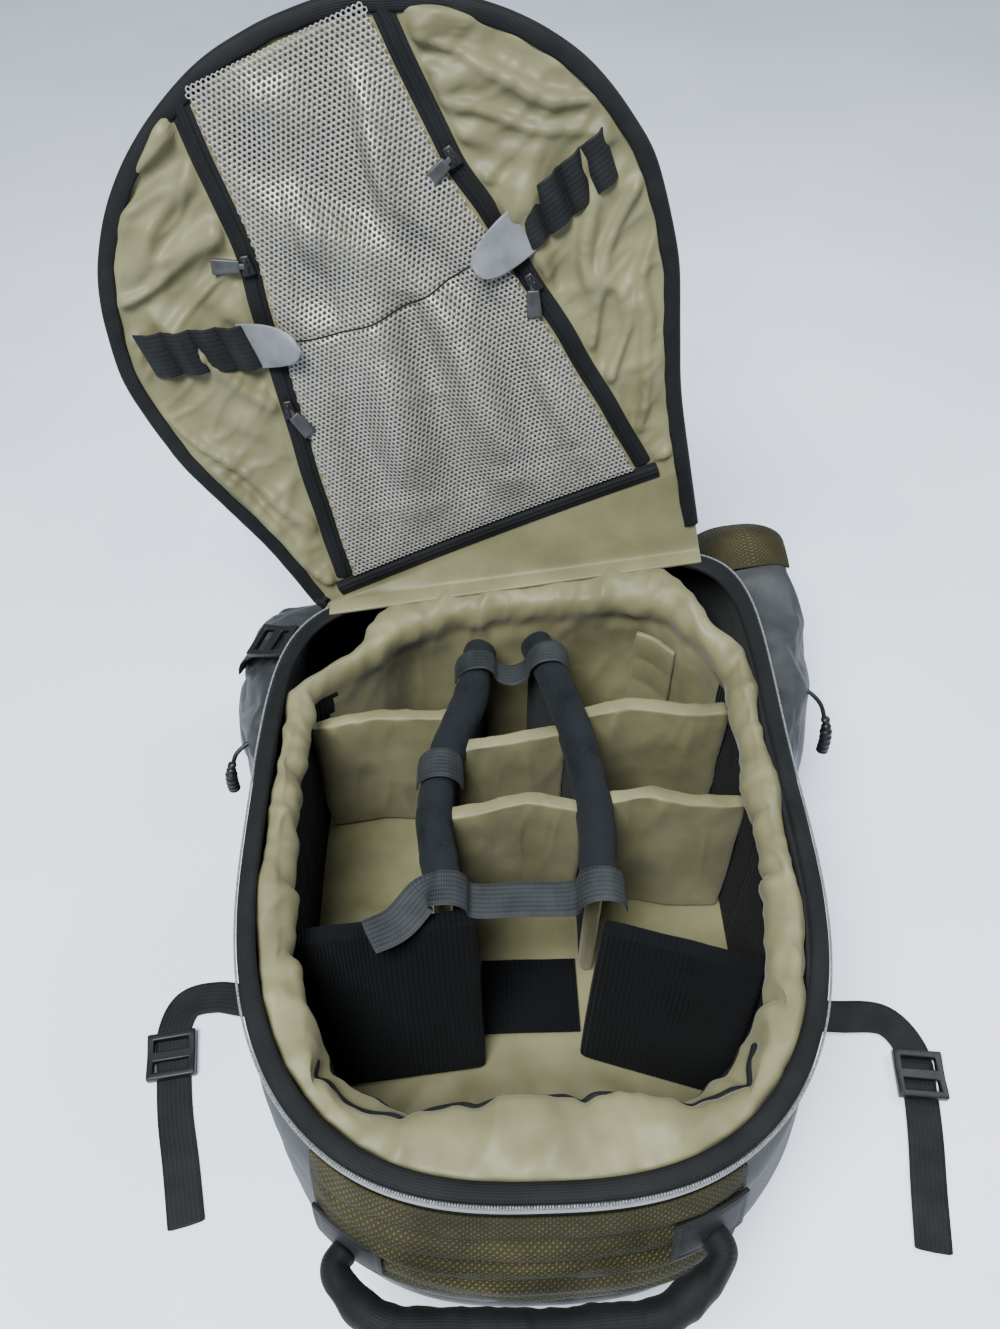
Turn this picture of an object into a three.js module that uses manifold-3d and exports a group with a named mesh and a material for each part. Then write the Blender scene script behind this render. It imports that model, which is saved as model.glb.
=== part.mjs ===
// A photographer's backpack, lying on its harness with the front panel unzipped and thrown back.
// Millimetres, +Z up, +X to the right seen from the handle, -Y towards the carrying handle.
// The origin is on the surface the pack lies on, in the middle of the back pad.
import * as THREE from 'three';
import { mergeVertices } from 'three/addons/utils/BufferGeometryUtils.js';
import Module from 'manifold-3d';

const wasm = await Module();
wasm.setup();

// Driving sizes of the pack's body
const mouthHalfWidth = 171;
const mouthNear = 219;
const mouthFar = 215;
const rimHeight = 215;
const wall = 6;
const clear = 0.4;
const nearRoundness = 2.7;
const farRoundness = 6;
const harnessThick = 15.6;
const slumpReach = 12;
const slumpRise = 17;

// The padded liner and floor
const linerGap = 2;
const linerSide = 8;
const linerRoll = 5;
const linerNear = 38;
const linerFar = 14;
const linerDrop = 8;
const linerNeckLeft = 0.27;
const linerNeckRight = 0.15;
const floorPadThick = 10;
const floorPadInset = 4;

// The padded dividers
const dividerThick = 12;
const dividerHeight = 142;
const longDividerThick = 12;
const longDividerHeight = 122;
const bolsterWidth = 27;
const bolsterHeight = 34;
const loopDividerThick = 14;
const loopDividerHeight = 138;

// Webbing, tape and piping
const webWidth = 25;
const webThick = 1.6;
const lashWidth = 20;
const rimTapeIn = 9;
const rimTapeOut = 5;
const rimTapeThick = 3;
const pipingRadius = 2;
const panelThick = 2;
const handleWidth = 19;
const handleHeight = 26;
const handleStandOff = 25;
const backPadHalfWidth = 0.56 * mouthHalfWidth;
const backPadLength = 0.945 * (mouthNear + mouthFar);
const shoulderStrapWidth = 0.36 * mouthHalfWidth;
const shoulderStrapThick = 0.8 * harnessThick;
const pocketReach = 60;
const buckleLength = 34;
const buckleThick = 6;

// The front panel, which is the lid here
const lidHingeHalfWidth = 140;
const lidBaseHalfWidth = 146;
const lidHeight = 355;
const lidBaseAside = -11.5;
const lidBaseRise = 34;
const lidThick = 3.5;
const lidBindingWidth = 14;
const lidBindingThick = 2;
const lidDish = 14;
const lidLeanDegrees = 15;
const lidTurnDegrees = 21.5;
const meshThick = 1.5;
const meshPuff = 8;
const zipWidth = 13;
const zipThick = 2.4;
const elasticWidth = 30;
const tabLength = 34;
const tabThick = 2.2;
const pullLength = 24;
const pullWidth = 9;
const pullThick = 3.4;

const backFace = harnessThick + clear;
const bodyHeight = rimHeight - backFace;
const aroundCount = 64;
const v3 = (x, y, z) => new THREE.Vector3(x, y, z);
const lerp = THREE.MathUtils.lerp;
const radians = THREE.MathUtils.degToRad;
const smooth = (x, low, high) => THREE.MathUtils.smoothstep(x, low, high);
const steps = (count) => Array.from({ length: count + 1 }, (_, i) => i / count);

const finishes = {
  shell: { color: 0x34373b, roughness: 0.75 },
  khaki: { color: 0x8f8768, roughness: 0.55 },
  khakiWeave: { color: 0x857c5e, roughness: 0.85 },
  tape: { color: 0x24272a, roughness: 0.8 },
  loopPile: { color: 0x1d2028, roughness: 0.95 },
  greyWeb: { color: 0x4d5157, roughness: 0.8 },
  piping: { color: 0x9a9c98, roughness: 0.6 },
  mesh: { color: 0x9b9896, roughness: 0.5 },
  plastic: { color: 0x1a1b1d, roughness: 0.45 },
  rubber: { color: 0x5b5e64, roughness: 0.6 },
};

const bag = new THREE.Group();

// Turns a closed surface's faces outwards.
function outward(geometry) {
  const place = geometry.attributes.position;
  const index = geometry.index.array;
  const [a, b, c] = [v3(), v3(), v3()];
  let volume = 0;
  for (let i = 0; i < index.length; i += 3) {
    a.fromBufferAttribute(place, index[i]);
    b.fromBufferAttribute(place, index[i + 1]);
    c.fromBufferAttribute(place, index[i + 2]);
    volume += a.dot(b.cross(c));
  }
  if (volume < 0) {
    for (let i = 0; i < index.length; i += 3) {
      [index[i + 1], index[i + 2]] = [index[i + 2], index[i + 1]];
    }
  }
  return geometry;
}

function surface(points, index) {
  const geometry = new THREE.BufferGeometry().setFromPoints(points);
  geometry.setIndex(index);
  return outward(geometry);
}

// Joins loops of equal length into a solid, capped at both ends, or closed on itself as a ring.
function loft(loops, ring = false) {
  const count = loops[0].length;
  const points = loops.flat();
  const index = [];
  const bands = ring ? loops.length : loops.length - 1;
  for (let i = 0; i < bands; i++) {
    const next = ((i + 1) % loops.length) * count;
    for (let j = 0; j < count; j++) {
      const k = (j + 1) % count;
      index.push(i * count + j, i * count + k, next + k, i * count + j, next + k, next + j);
    }
  }
  if (!ring) {
    const last = (loops.length - 1) * count;
    for (const [start, loop, flip] of [[0, loops[0], true], [last, loops.at(-1), false]]) {
      const middle = points.length;
      points.push(loop.reduce((sum, p) => sum.add(p), v3(0, 0, 0)).divideScalar(count));
      for (let j = 0; j < count; j++) {
        const k = (j + 1) % count;
        index.push(middle, start + (flip ? k : j), start + (flip ? j : k));
      }
    }
  }
  return surface(points, index);
}

// A sheet between two grids of points, closed along its edges.
function slab(front, back) {
  const rows = front.length;
  const columns = front[0].length;
  const points = [...front.flat(), ...back.flat()];
  const behind = rows * columns;
  const at = (i, j) => i * columns + j;
  const index = [];
  for (let i = 0; i < rows - 1; i++) {
    for (let j = 0; j < columns - 1; j++) {
      const [a, b, c, d] = [at(i, j), at(i, j + 1), at(i + 1, j + 1), at(i + 1, j)];
      index.push(a, b, c, a, c, d);
      index.push(a + behind, c + behind, b + behind, a + behind, d + behind, c + behind);
    }
  }
  const edge = [];
  for (let j = 0; j < columns - 1; j++) edge.push(at(0, j));
  for (let i = 0; i < rows - 1; i++) edge.push(at(i, columns - 1));
  for (let j = columns - 1; j > 0; j--) edge.push(at(rows - 1, j));
  for (let i = rows - 1; i > 0; i--) edge.push(at(i, 0));
  edge.forEach((p, n) => {
    const q = edge[(n + 1) % edge.length];
    index.push(q, p, p + behind, q, p + behind, q + behind);
  });
  return surface(points, index);
}

// A ribbon through stations, each with its two edge points, thickened along its own normal.
function ribbon(stations, thick) {
  const rows = stations.map(({ left, right }, i) => {
    const before = stations[Math.max(i - 1, 0)];
    const after = stations[Math.min(i + 1, stations.length - 1)];
    const middle = (s) => s.left.clone().add(s.right).divideScalar(2);
    const along = middle(after).sub(middle(before));
    const normal = right.clone().sub(left).cross(along).normalize().multiplyScalar(thick / 2);
    const edges = [left, right];
    return { up: edges.map((p) => p.clone().add(normal)), down: edges.map((p) => p.clone().sub(normal)) };
  });
  return slab(rows.map((r) => r.up), rows.map((r) => r.down));
}

// A section swept along a smooth path, with its upright side kept upright.
function bar(path, width, height, sides, stepCount) {
  const curve = new THREE.CatmullRomCurve3(path);
  const loops = steps(stepCount).map((s) => {
    const along = curve.getTangentAt(s);
    const across = v3(along.y, -along.x, 0).normalize();
    const up = across.clone().cross(along).normalize();
    const centre = curve.getPointAt(s);
    return Array.from({ length: sides }, (_, i) => {
      const turn = ((i + 0.5) / sides) * 2 * Math.PI;
      return centre.clone()
        .addScaledVector(across, (Math.cos(turn) * width) / 2)
        .addScaledVector(up, (Math.sin(turn) * height) / 2);
    });
  });
  return loft(loops);
}

function solidOf(geometry) {
  const bare = geometry.index ? geometry.toNonIndexed() : geometry.clone();
  bare.deleteAttribute('normal');
  bare.deleteAttribute('uv');
  const merged = mergeVertices(bare, 1e-3);
  return new wasm.Manifold(new wasm.Mesh({
    numProp: 3,
    vertProperties: merged.attributes.position.array,
    triVerts: new Uint32Array(merged.index.array),
  }));
}

function geometryOf(solid) {
  const mesh = solid.getMesh();
  const geometry = new THREE.BufferGeometry();
  geometry.setAttribute('position', new THREE.BufferAttribute(mesh.vertProperties, 3));
  geometry.setIndex(new THREE.BufferAttribute(mesh.triVerts, 1));
  return geometry;
}

function joined(...geometries) {
  return geometryOf(geometries.map(solidOf).reduce((sum, solid) => sum.add(solid)));
}

// Cuts a geometry away to what lies inside keep and outside each of the cutters.
function trimmed(geometry, keep, ...cutters) {
  const inside = keep ? solidOf(geometry).intersect(solidOf(keep)) : solidOf(geometry);
  return geometryOf(cutters.reduce((rest, cutter) => rest.subtract(solidOf(cutter)), inside));
}

// The pack has settled to one side at its far end: the rim there runs back and up towards +X.
function slump(p) {
  const share = smooth(p.y, 40, mouthFar) * smooth(p.z, backFace, rimHeight) * (p.x / mouthHalfWidth);
  return v3(p.x, p.y + slumpReach * share, p.z + slumpRise * share);
}

function addBody(name, geometry, finish) {
  const place = geometry.attributes.position;
  for (let i = 0; i < place.count; i++) {
    const p = slump(v3().fromBufferAttribute(place, i));
    place.setXYZ(i, p.x, p.y, p.z);
  }
  addPlain(name, geometry, finish);
}

function addPlain(name, geometry, finish) {
  const mesh = new THREE.Mesh(geometry, new THREE.MeshStandardMaterial(finishes[finish]));
  mesh.name = name;
  bag.add(mesh);
}

// Plan outline: a superellipse that is rounder at the handle end than at the hinge end.
// The turn starts at the handle and goes round by the +X side.
function planPoint(turn, half, near, far) {
  const [s, c] = [Math.sin(turn), Math.cos(turn)];
  const power = 2 / (c > 0 ? nearRoundness : farRoundness);
  const x = half * Math.sign(s) * Math.abs(s) ** power;
  const y = -(c > 0 ? near : far) * Math.sign(c) * Math.abs(c) ** power;
  return { x, y };
}

// Turns that divide the mouth's outline into equal lengths.
const evenTurns = (() => {
  const fine = steps(40000).map((s) => s * 2 * Math.PI);
  const lengths = [0];
  fine.slice(1).forEach((turn, i) => {
    const a = planPoint(fine[i], mouthHalfWidth, mouthNear, mouthFar);
    const b = planPoint(turn, mouthHalfWidth, mouthNear, mouthFar);
    lengths.push(lengths[i] + Math.hypot(b.x - a.x, b.y - a.y));
  });
  return Array.from({ length: aroundCount }, (_, i) => {
    const wanted = (i / aroundCount) * lengths.at(-1);
    const found = lengths.findIndex((length) => length >= wanted);
    return fine[found];
  });
})();
const turnOf = (index) => evenTurns[((index % aroundCount) + aroundCount) % aroundCount];

// The first outline index, going from the handle, at which the mouth has come as far back as y.
function indexAt(y) {
  const half = aroundCount / 2;
  for (let i = 0; i <= half; i++) {
    if (planPoint(turnOf(i), mouthHalfWidth, mouthNear, mouthFar).y >= y) return i;
  }
  return half;
}

// The outer shell's sections from the back panel (rise 0) to the mouth (rise 1).
// side, near and far are shares of the mouth's own half-width and lengths.
const shellSections = [
  { rise: 0.0, side: 0.95, near: 0.99, far: 1.17 },
  { rise: 0.045, side: 1.0, near: 1.035, far: 1.22 },
  { rise: 0.2, side: 1.025, near: 1.08, far: 1.26 },
  { rise: 0.5, side: 1.035, near: 1.1, far: 1.27 },
  { rise: 0.8, side: 1.025, near: 1.055, far: 1.22 },
  { rise: 0.93, side: 1.01, near: 1.02, far: 1.12 },
  { rise: 1.0, side: 1.0, near: 1.0, far: 1.0 },
];

function shellSection(rise) {
  const above = Math.max(1, shellSections.findIndex((row) => row.rise >= rise));
  const [low, high] = [shellSections[above - 1], shellSections[above]];
  const share = (rise - low.rise) / (high.rise - low.rise);
  return {
    half: lerp(low.side, high.side, share) * mouthHalfWidth,
    near: lerp(low.near, high.near, share) * mouthNear,
    far: lerp(low.far, high.far, share) * mouthFar,
  };
}

// A point on the shell's outer face, moved out from it in plan by offset.
function shellPoint(turn, rise, offset) {
  const { half, near, far } = shellSection(rise);
  const { x, y } = planPoint(turn, half + offset, near + offset, far + offset);
  return v3(x, y, backFace + rise * bodyHeight);
}

const loopAt = (rise, offset) => evenTurns.map((turn) => shellPoint(turn, rise, offset));

function makeShell() {
  const rises = shellSections.map((row) => row.rise);
  const floorRise = wall / bodyHeight;
  const outer = rises.map((rise) => loopAt(rise, 0));
  const inner = [...rises.slice(2).filter((rise, i) => i % 2 === 0).reverse(), floorRise]
    .map((rise) => loopAt(rise, -wall));
  addBody('body_shell', loft([...outer, ...inner]), 'shell');
}

// Cover panels that lie on the shell between two outline indices and two rises.
function coverPanel(from, to, low, high, thick, standOff = clear * 2) {
  const rises = [low, ...shellSections.map((row) => row.rise).filter((r) => r > low && r < high), high];
  const indices = Array.from({ length: to - from + 1 }, (_, i) => from + i);
  const grid = (offset) => rises.map((rise) => indices.map((i) => shellPoint(turnOf(i), rise, offset)));
  return slab(grid(standOff), grid(standOff + thick));
}

const coverBottomRise = 0.4;
const coverTopRise = 0.93;
const farCoverTopRise = 0.93;
const nearSpan = indexAt(-0.9 * mouthNear);

function makeCovers() {
  const near = coverPanel(-nearSpan - 1, nearSpan, coverBottomRise, coverTopRise, panelThick);
  addBody('near_panel', near, 'khakiWeave');
  const farStart = indexAt(0.86 * mouthFar);
  const far = coverPanel(farStart, aroundCount - farStart, 0.55, farCoverTopRise, panelThick);
  addBody('far_panel', far, 'khakiWeave');
}

// Round piping laid on the shell at one rise, from one outline index to another or all the way round.
function pipingLoop(turn, rise, standOff) {
  const centre = shellPoint(turn, rise, standOff + pipingRadius);
  const away = v3(centre.x, centre.y, 0).sub(v3(0, 0, 0)).normalize();
  return steps(5).slice(0, -1).map((s) => {
    const angle = s * 2 * Math.PI;
    return centre.clone()
      .addScaledVector(away, Math.cos(angle) * pipingRadius)
      .add(v3(0, 0, Math.sin(angle) * pipingRadius));
  });
}

const rimPipingRise = 0.965;
const basePipingRise = 0.12;
const pipingStandOff = 0.5;

const pocketStart = 0.233 * mouthFar;

function makePiping() {
  const run = (end) => Array.from({ length: 2 * end + 1 }, (_, i) => turnOf(i - end));
  const piping = (end, rise) => loft(run(end).map((turn) => pipingLoop(turn, rise, pipingStandOff)));
  addBody('rim_piping', piping(indexAt(0.7 * mouthFar), rimPipingRise), 'piping');
  addBody('base_piping', piping(indexAt(pocketStart) - 2, basePipingRise), 'piping');
}

function makeRimTape() {
  const low = rimHeight + clear;
  const edge = (offset, z) => evenTurns.map((turn) => shellPoint(turn, 1, offset).setZ(z));
  const high = low + rimTapeThick;
  addBody('rim_tape', loft([
    edge(-rimTapeIn, low), edge(rimTapeOut, low), edge(rimTapeOut, high), edge(-rimTapeIn, high),
  ], true), 'tape');
}

// The padded liner stands inside the shell. It leaves the shell and necks in towards the hinge end.
const linerOuter = {
  half: mouthHalfWidth - wall - linerGap,
  near: mouthNear - wall - linerGap,
  far: mouthFar - wall - linerGap,
};
const linerInner = {
  half: linerOuter.half - linerSide,
  near: linerOuter.near - linerNear,
  far: linerOuter.far - linerFar,
};
const floorTop = backFace + wall + clear + floorPadThick;
const standing = floorTop + clear;
const linerTop = rimHeight - linerDrop;
const neckFrom = 0.56 * mouthFar;
const neckTo = 0.8 * mouthFar;

const neckAt = (x, y) => 1 - (x < 0 ? linerNeckLeft : linerNeckRight) * smooth(y, neckFrom, neckTo);

function linerPoint(turn, size, z, bulge = 0) {
  const { x, y } = planPoint(turn, size.half - bulge, size.near - bulge, size.far - bulge);
  return v3(x * neckAt(x, y), y, z);
}

// Where the liner's padded top has crumpled inwards: place round the outline, reach and width.
const linerFolds = [
  { place: 0.05, reach: 6, width: 0.035 },
  { place: 0.14, reach: 8, width: 0.03 },
  { place: 0.78, reach: 9, width: 0.04 },
  { place: 0.85, reach: 12, width: 0.045 },
  { place: 0.94, reach: 9, width: 0.035 },
];

function linerBulge(place) {
  return linerRoll + linerFolds.reduce((sum, fold) => {
    const away = Math.abs(((place - fold.place + 1.5) % 1) - 0.5);
    return sum + fold.reach * Math.exp(-((away / fold.width) ** 2));
  }, 0);
}

function linerLoop(size, z, share) {
  return evenTurns.map((turn, i) => linerPoint(turn, size, z, share * linerBulge(i / aroundCount)));
}

const resized = (size, by, far = by) =>
  ({ half: size.half + by, near: size.near + by, far: size.far + far });

function makeLiner() {
  const roll = linerSide * 0.45;
  const outerRoll = resized(linerOuter, -roll, -roll / 2);
  const innerRoll = resized(linerInner, roll, roll / 2);
  addBody('liner', loft([
    linerLoop(linerOuter, standing, 0),
    linerLoop(linerOuter, linerTop - roll, 0),
    linerLoop(outerRoll, linerTop, 0),
    linerLoop(innerRoll, linerTop, 1),
    linerLoop(linerInner, linerTop - roll, 1),
    linerLoop(linerInner, standing + dividerHeight, 0),
    linerLoop(linerInner, standing, 0),
  ], true), 'khaki');
  const padSize = resized(linerOuter, linerGap - floorPadInset - 2);
  const pad = (z) => evenTurns.map((turn) => linerPoint(turn, padSize, z));
  addBody('floor_pad', loft([pad(floorTop - floorPadThick), pad(floorTop)]), 'khaki');
}

// The room inside the liner, less a gap all round, that the dividers are cut to.
const dividerGap = 0.8;

function insideLiner() {
  const size = resized(linerInner, -dividerGap);
  return loft([
    linerLoop(size, standing - 1, 0),
    linerLoop(size, standing + dividerHeight, 0),
    linerLoop(size, linerTop - linerSide * 0.45, 1),
    linerLoop(size, linerTop + 60, 1),
  ]);
}

// A padded board standing on the floor between two plan points. Each kink pushes one place
// along it out of line, where the soft board has creased, and the crown lifts its middle.
function board({ from, to, kinks = [], height, thick, lean = 0, crown = 0, columns = 8 }) {
  const run = new THREE.Vector2(to[0] - from[0], to[1] - from[1]);
  const side = new THREE.Vector2(-run.y, run.x).normalize();
  const kinkAt = (u) => kinks.reduce((sum, kink) =>
    sum + kink.by * Math.max(0, 1 - Math.abs(u - kink.at) / kink.width), 0);
  const face = (half) => steps(4).map((v) => steps(columns).map((u) => {
    const push = kinkAt(u) * (0.5 + 0.5 * v) + half + lean * (v - 1);
    const z = standing + (height + crown * Math.sin(u * Math.PI)) * v;
    return v3(lerp(from[0], to[0], u) + side.x * push, lerp(from[1], to[1], u) + side.y * push, z);
  }));
  return slab(face(-thick / 2), face(thick / 2));
}

// The two long dividers curve from the hinge end to the middle of the pack.
// y is a share of the inside length towards the hinge, x of the inside half-width.
const longDividerPlan = {
  left: [
    { y: 0.97, x: -0.17 }, { y: 0.72, x: -0.22 }, { y: 0.45, x: -0.33 },
    { y: 0.16, x: -0.39 }, { y: -0.16, x: -0.34 },
  ],
  right: [
    { y: 0.97, x: 0.09 }, { y: 0.72, x: 0.19 }, { y: 0.45, x: 0.27 },
    { y: 0.16, x: 0.31 }, { y: -0.14, x: 0.3 },
  ],
};
const longCurve = (rows) =>
  new THREE.CatmullRomCurve3(rows.map((row) => v3(row.x * linerInner.half, row.y * linerInner.far, 0)));
const longCurves = { left: longCurve(longDividerPlan.left), right: longCurve(longDividerPlan.right) };

function longDividerX(side, y) {
  const points = longCurves[side].getPoints(200);
  return points.reduce((best, p) => (Math.abs(p.y - y) < Math.abs(best.y - y) ? p : best)).x;
}

const bolsterMiddle = standing + longDividerHeight + clear + bolsterHeight / 2;

function longDivider(side, extra) {
  const curve = longCurves[side];
  const face = (half) => steps(12).map((s) => {
    const along = curve.getTangentAt(s);
    const across = v3(along.y, -along.x, 0).normalize().multiplyScalar(half);
    const p = curve.getPointAt(s).add(across);
    return [v3(p.x, p.y, standing - extra), v3(p.x, p.y, standing + longDividerHeight + extra)];
  });
  const half = longDividerThick / 2 + extra;
  return slab(face(-half), face(half));
}

function bolster(side, extra) {
  const path = longCurves[side].getPoints(8).map((p) => p.clone().setZ(bolsterMiddle));
  return bar(path, bolsterWidth + 2 * extra, bolsterHeight + 2 * extra, 12, 16);
}

function makeLongDividers() {
  for (const side of ['left', 'right']) {
    addBody('long_divider_' + side, longDivider(side, 0), 'loopPile');
    addBody('bolster_' + side, trimmed(bolster(side, 0), insideLiner()), 'loopPile');
  }
}

const crossDividers = [
  { name: 'left', y: [0.6, 0.62], kinks: [{ at: 0.45, by: 8, width: 0.45 }], crown: 2 },
  { name: 'right_far', y: [0.58, 0.56], kinks: [{ at: 0.35, by: 8, width: 0.35 }], crown: 3 },
  { name: 'right_near', y: [0.2, 0.18], kinks: [{ at: 0.3, by: 8, width: 0.3 }], crown: 4 },
  { name: 'centre_far', y: [0.45, 0.52], kinks: [], crown: 0 },
  { name: 'centre_near', y: [0.16, 0.16], kinks: [{ at: 0.6, by: 12, width: 0.5 }], crown: 6 },
];

function crossDividerEnds(name, y) {
  const [fromY, toY] = y.map((share) => share * linerInner.far);
  if (name === 'left') return [[-linerOuter.half, fromY], [longDividerX('left', toY), toY]];
  if (name.startsWith('right')) return [[longDividerX('right', fromY), fromY], [linerOuter.half, toY]];
  return [[longDividerX('left', fromY), fromY], [longDividerX('right', toY), toY]];
}

function dividerCutters() {
  return ['left', 'right'].flatMap((side) => [longDivider(side, dividerGap), bolster(side, dividerGap)]);
}

function makeCrossDividers() {
  for (const { name, y, kinks, crown } of crossDividers) {
    const [from, to] = crossDividerEnds(name, y);
    const blank = board({ from, to, kinks, crown, height: dividerHeight, thick: dividerThick });
    addBody('cross_divider_' + name, trimmed(blank, insideLiner(), ...dividerCutters()), 'khaki');
  }
}

// The two wide dividers at the handle end are covered with ribbed pile and lean back.
// Their tops run between these points, as shares of the inside half-width and near length.
const loopDividerPlan = {
  left: { ends: [[-1.1, -0.33], [-0.21, -0.25]], lean: 42 },
  right: { ends: [[0.29, -0.3], [1.1, -0.53]], lean: 28 },
};

function makeLoopDividers() {
  for (const [side, { ends, lean: tilt }] of Object.entries(loopDividerPlan)) {
    const [from, to] = ends.map(([x, y]) => [x * linerInner.half, y * linerInner.near]);
    const blank = board({
      from, to, height: loopDividerHeight, thick: loopDividerThick, lean: tilt, columns: 5,
    });
    addBody('loop_divider_' + side, trimmed(blank, insideLiner(), ...dividerCutters()), 'loopPile');
  }
}

// A rounded patch of pile sewn to the floor pad in the middle bay.
// x and width are shares of the mouth's half-width, y and length of its length towards the handle.
const floorPatch = { x: 0.023, y: -0.174, width: 0.433, length: 0.256, thick: 1.6 };

function makeFloorPatch() {
  const { x, y, width, length, thick } = floorPatch;
  const patch = new THREE.BoxGeometry(width * mouthHalfWidth, length * mouthNear, thick);
  patch.translate(x * mouthHalfWidth, y * mouthNear, standing + thick / 2);
  const sides = ['left', 'right'].map((side) => longDivider(side, clear));
  addBody('floor_loop_patch', trimmed(patch, null, ...sides), 'loopPile');
}

// Grey straps lie over the bolsters. Each row is one station along the strap's middle line,
// with its height above the bolster's middle.
const strapClear = 1.4;
const strapAt = { near: -0.176, band: 0.321, far: 0.819 };

function strapOver(rows, width) {
  const path = new THREE.CatmullRomCurve3(rows.map((row) => v3(row.x, row.y, bolsterMiddle + row.up)));
  const stations = steps(rows.length * 2).map((s) => {
    const p = path.getPointAt(s);
    const along = path.getTangentAt(s);
    const across = v3(-along.y, along.x, 0).normalize().multiplyScalar(width / 2);
    return { left: p.clone().add(across), right: p.clone().sub(across) };
  });
  return trimmed(ribbon(stations, webThick), null, bolster('left', clear), bolster('right', clear));
}

// Stations round the upper side of a bolster, from -X to +X.
function overBolster(x, y) {
  const reach = bolsterWidth / 2 + strapClear + webThick / 2;
  const rise = bolsterHeight / 2 + strapClear + webThick / 2;
  return [175, 145, 110, 70, 35, 5].map((degrees) => {
    const angle = radians(degrees);
    return { x: x + reach * Math.cos(angle), y, up: rise * Math.sin(angle) };
  });
}

function makeDividerStraps() {
  const y = strapAt.near * linerInner.far;
  const [leftX, rightX] = [longDividerX('left', y), longDividerX('right', y)];
  const free = (out, back) => ({ x: leftX - out * webWidth, y: y - back * webWidth, up: webWidth / 5 });
  addBody('divider_strap_near', strapOver([
    free(1.92, 1.04), free(1.2, 0.68),
    ...overBolster(leftX, y).slice(1), { x: lerp(leftX, rightX, 0.5), y, up: 0.5 },
    ...overBolster(rightX, y),
  ], webWidth), 'greyWeb');
  const farY = strapAt.far * linerInner.far;
  const [farLeft, farRight] = [longDividerX('left', farY), longDividerX('right', farY)];
  addBody('divider_strap_far', strapOver([
    ...overBolster(farLeft, farY), { x: lerp(farLeft, farRight, 0.5), y: farY, up: -5 },
    ...overBolster(farRight, farY),
  ], webWidth * 0.8), 'greyWeb');
  const bandY = strapAt.band * linerInner.far;
  addBody('bolster_band', strapOver(overBolster(longDividerX('left', bandY), bandY), webWidth), 'greyWeb');
}

// The lid lies in a plane that leans back from the far rim, and is turned in that plane.
// a runs from the base zip to the top of the arch, b across, towards +X.
const lean = radians(lidLeanDegrees);
const turned = radians(lidTurnDegrees);
const lidUp = v3(0, Math.sin(lean), Math.cos(lean));
const lidFront = v3(0, -Math.cos(lean), Math.sin(lean));
const lidAlong = v3(-Math.sin(turned), 0, 0).addScaledVector(lidUp, Math.cos(turned));
const lidAcross = v3(Math.cos(turned), 0, 0).addScaledVector(lidUp, Math.sin(turned));
const lidBase = v3(lidBaseAside, mouthFar, rimHeight).addScaledVector(lidUp, lidBaseRise);

// Half-widths of the arch, as shares of its height and of its base half-width.
const lidArch = [
  { up: 0.0, half: 1.0 }, { up: 0.17, half: 1.07 }, { up: 0.29, half: 1.15 }, { up: 0.43, half: 1.235 },
  { up: 0.57, half: 1.255 }, { up: 0.67, half: 1.2 }, { up: 0.75, half: 1.12 }, { up: 0.823, half: 0.99 },
  { up: 0.88, half: 0.84 }, { up: 0.925, half: 0.67 }, { up: 0.965, half: 0.45 }, { up: 0.99, half: 0.22 },
];
const lidHalfAt = (a) => {
  const up = a / lidHeight;
  const above = Math.max(1, lidArch.findIndex((row) => row.up >= up));
  const [low, high] = [lidArch[above - 1], lidArch[above]];
  return lerp(low.half, high.half, (up - low.up) / (high.up - low.up)) * lidBaseHalfWidth;
};

function lidPlane(a, b) {
  const dish = lidDish * (0.7 * (b / (1.3 * lidBaseHalfWidth)) ** 2 + 0.5 * Math.max(0, a / lidHeight) ** 3);
  const place = lidBase.clone().addScaledVector(lidAlong, a).addScaledVector(lidAcross, b);
  return place.addScaledVector(lidFront, dish);
}

function lidPoint(a, b, offset) {
  const da = lidPlane(a + 1, b).sub(lidPlane(a - 1, b));
  const db = lidPlane(a, b + 1).sub(lidPlane(a, b - 1));
  return lidPlane(a, b).addScaledVector(db.cross(da).normalize(), offset);
}

// Below the base zip the lid runs down to the rim, along a line that follows the far side.
const hingeTapeTop = rimHeight + clear + rimTapeThick;
const hingeLift = 1.2;

function hingePoint(s) {
  const x = s * lidHingeHalfWidth;
  return slump(v3(x, mouthFar - 2, hingeTapeTop + hingeLift + lidThick / 2));
}

const lidColumns = 14;
const lidRows = [-1, -0.66, -0.33, ...lidArch.map((row) => row.up)];

function lidGrid(offset, inset = 0) {
  return lidRows.map((up) => steps(lidColumns).map((u) => {
    const s = 2 * u - 1;
    if (up >= 0) return lidPoint(up * lidHeight, s * (lidHalfAt(up * lidHeight) - inset), offset);
    const base = lidPoint(0, s * (lidBaseHalfWidth - inset), offset);
    const foot = hingePoint(s).addScaledVector(lidFront, offset);
    return base.lerp(foot, -up);
  }));
}

function makeLidPanel() {
  addPlain('lid_panel', slab(lidGrid(lidThick / 2), lidGrid(-lidThick / 2)), 'khaki');
}

// A strip on the lid's lining between two lines of lid coordinates.
function lidStrip(rows, from, to, low, high, puff = () => 0) {
  const columns = rows[0].columns ?? 1;
  const grid = (height) => rows.map((row) => steps(columns).map((u) => {
    const b = lerp(from(row.a), to(row.a), u);
    return lidPoint(row.a, b, height + puff(row.a, u));
  }));
  return slab(grid(low), grid(high));
}

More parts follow.
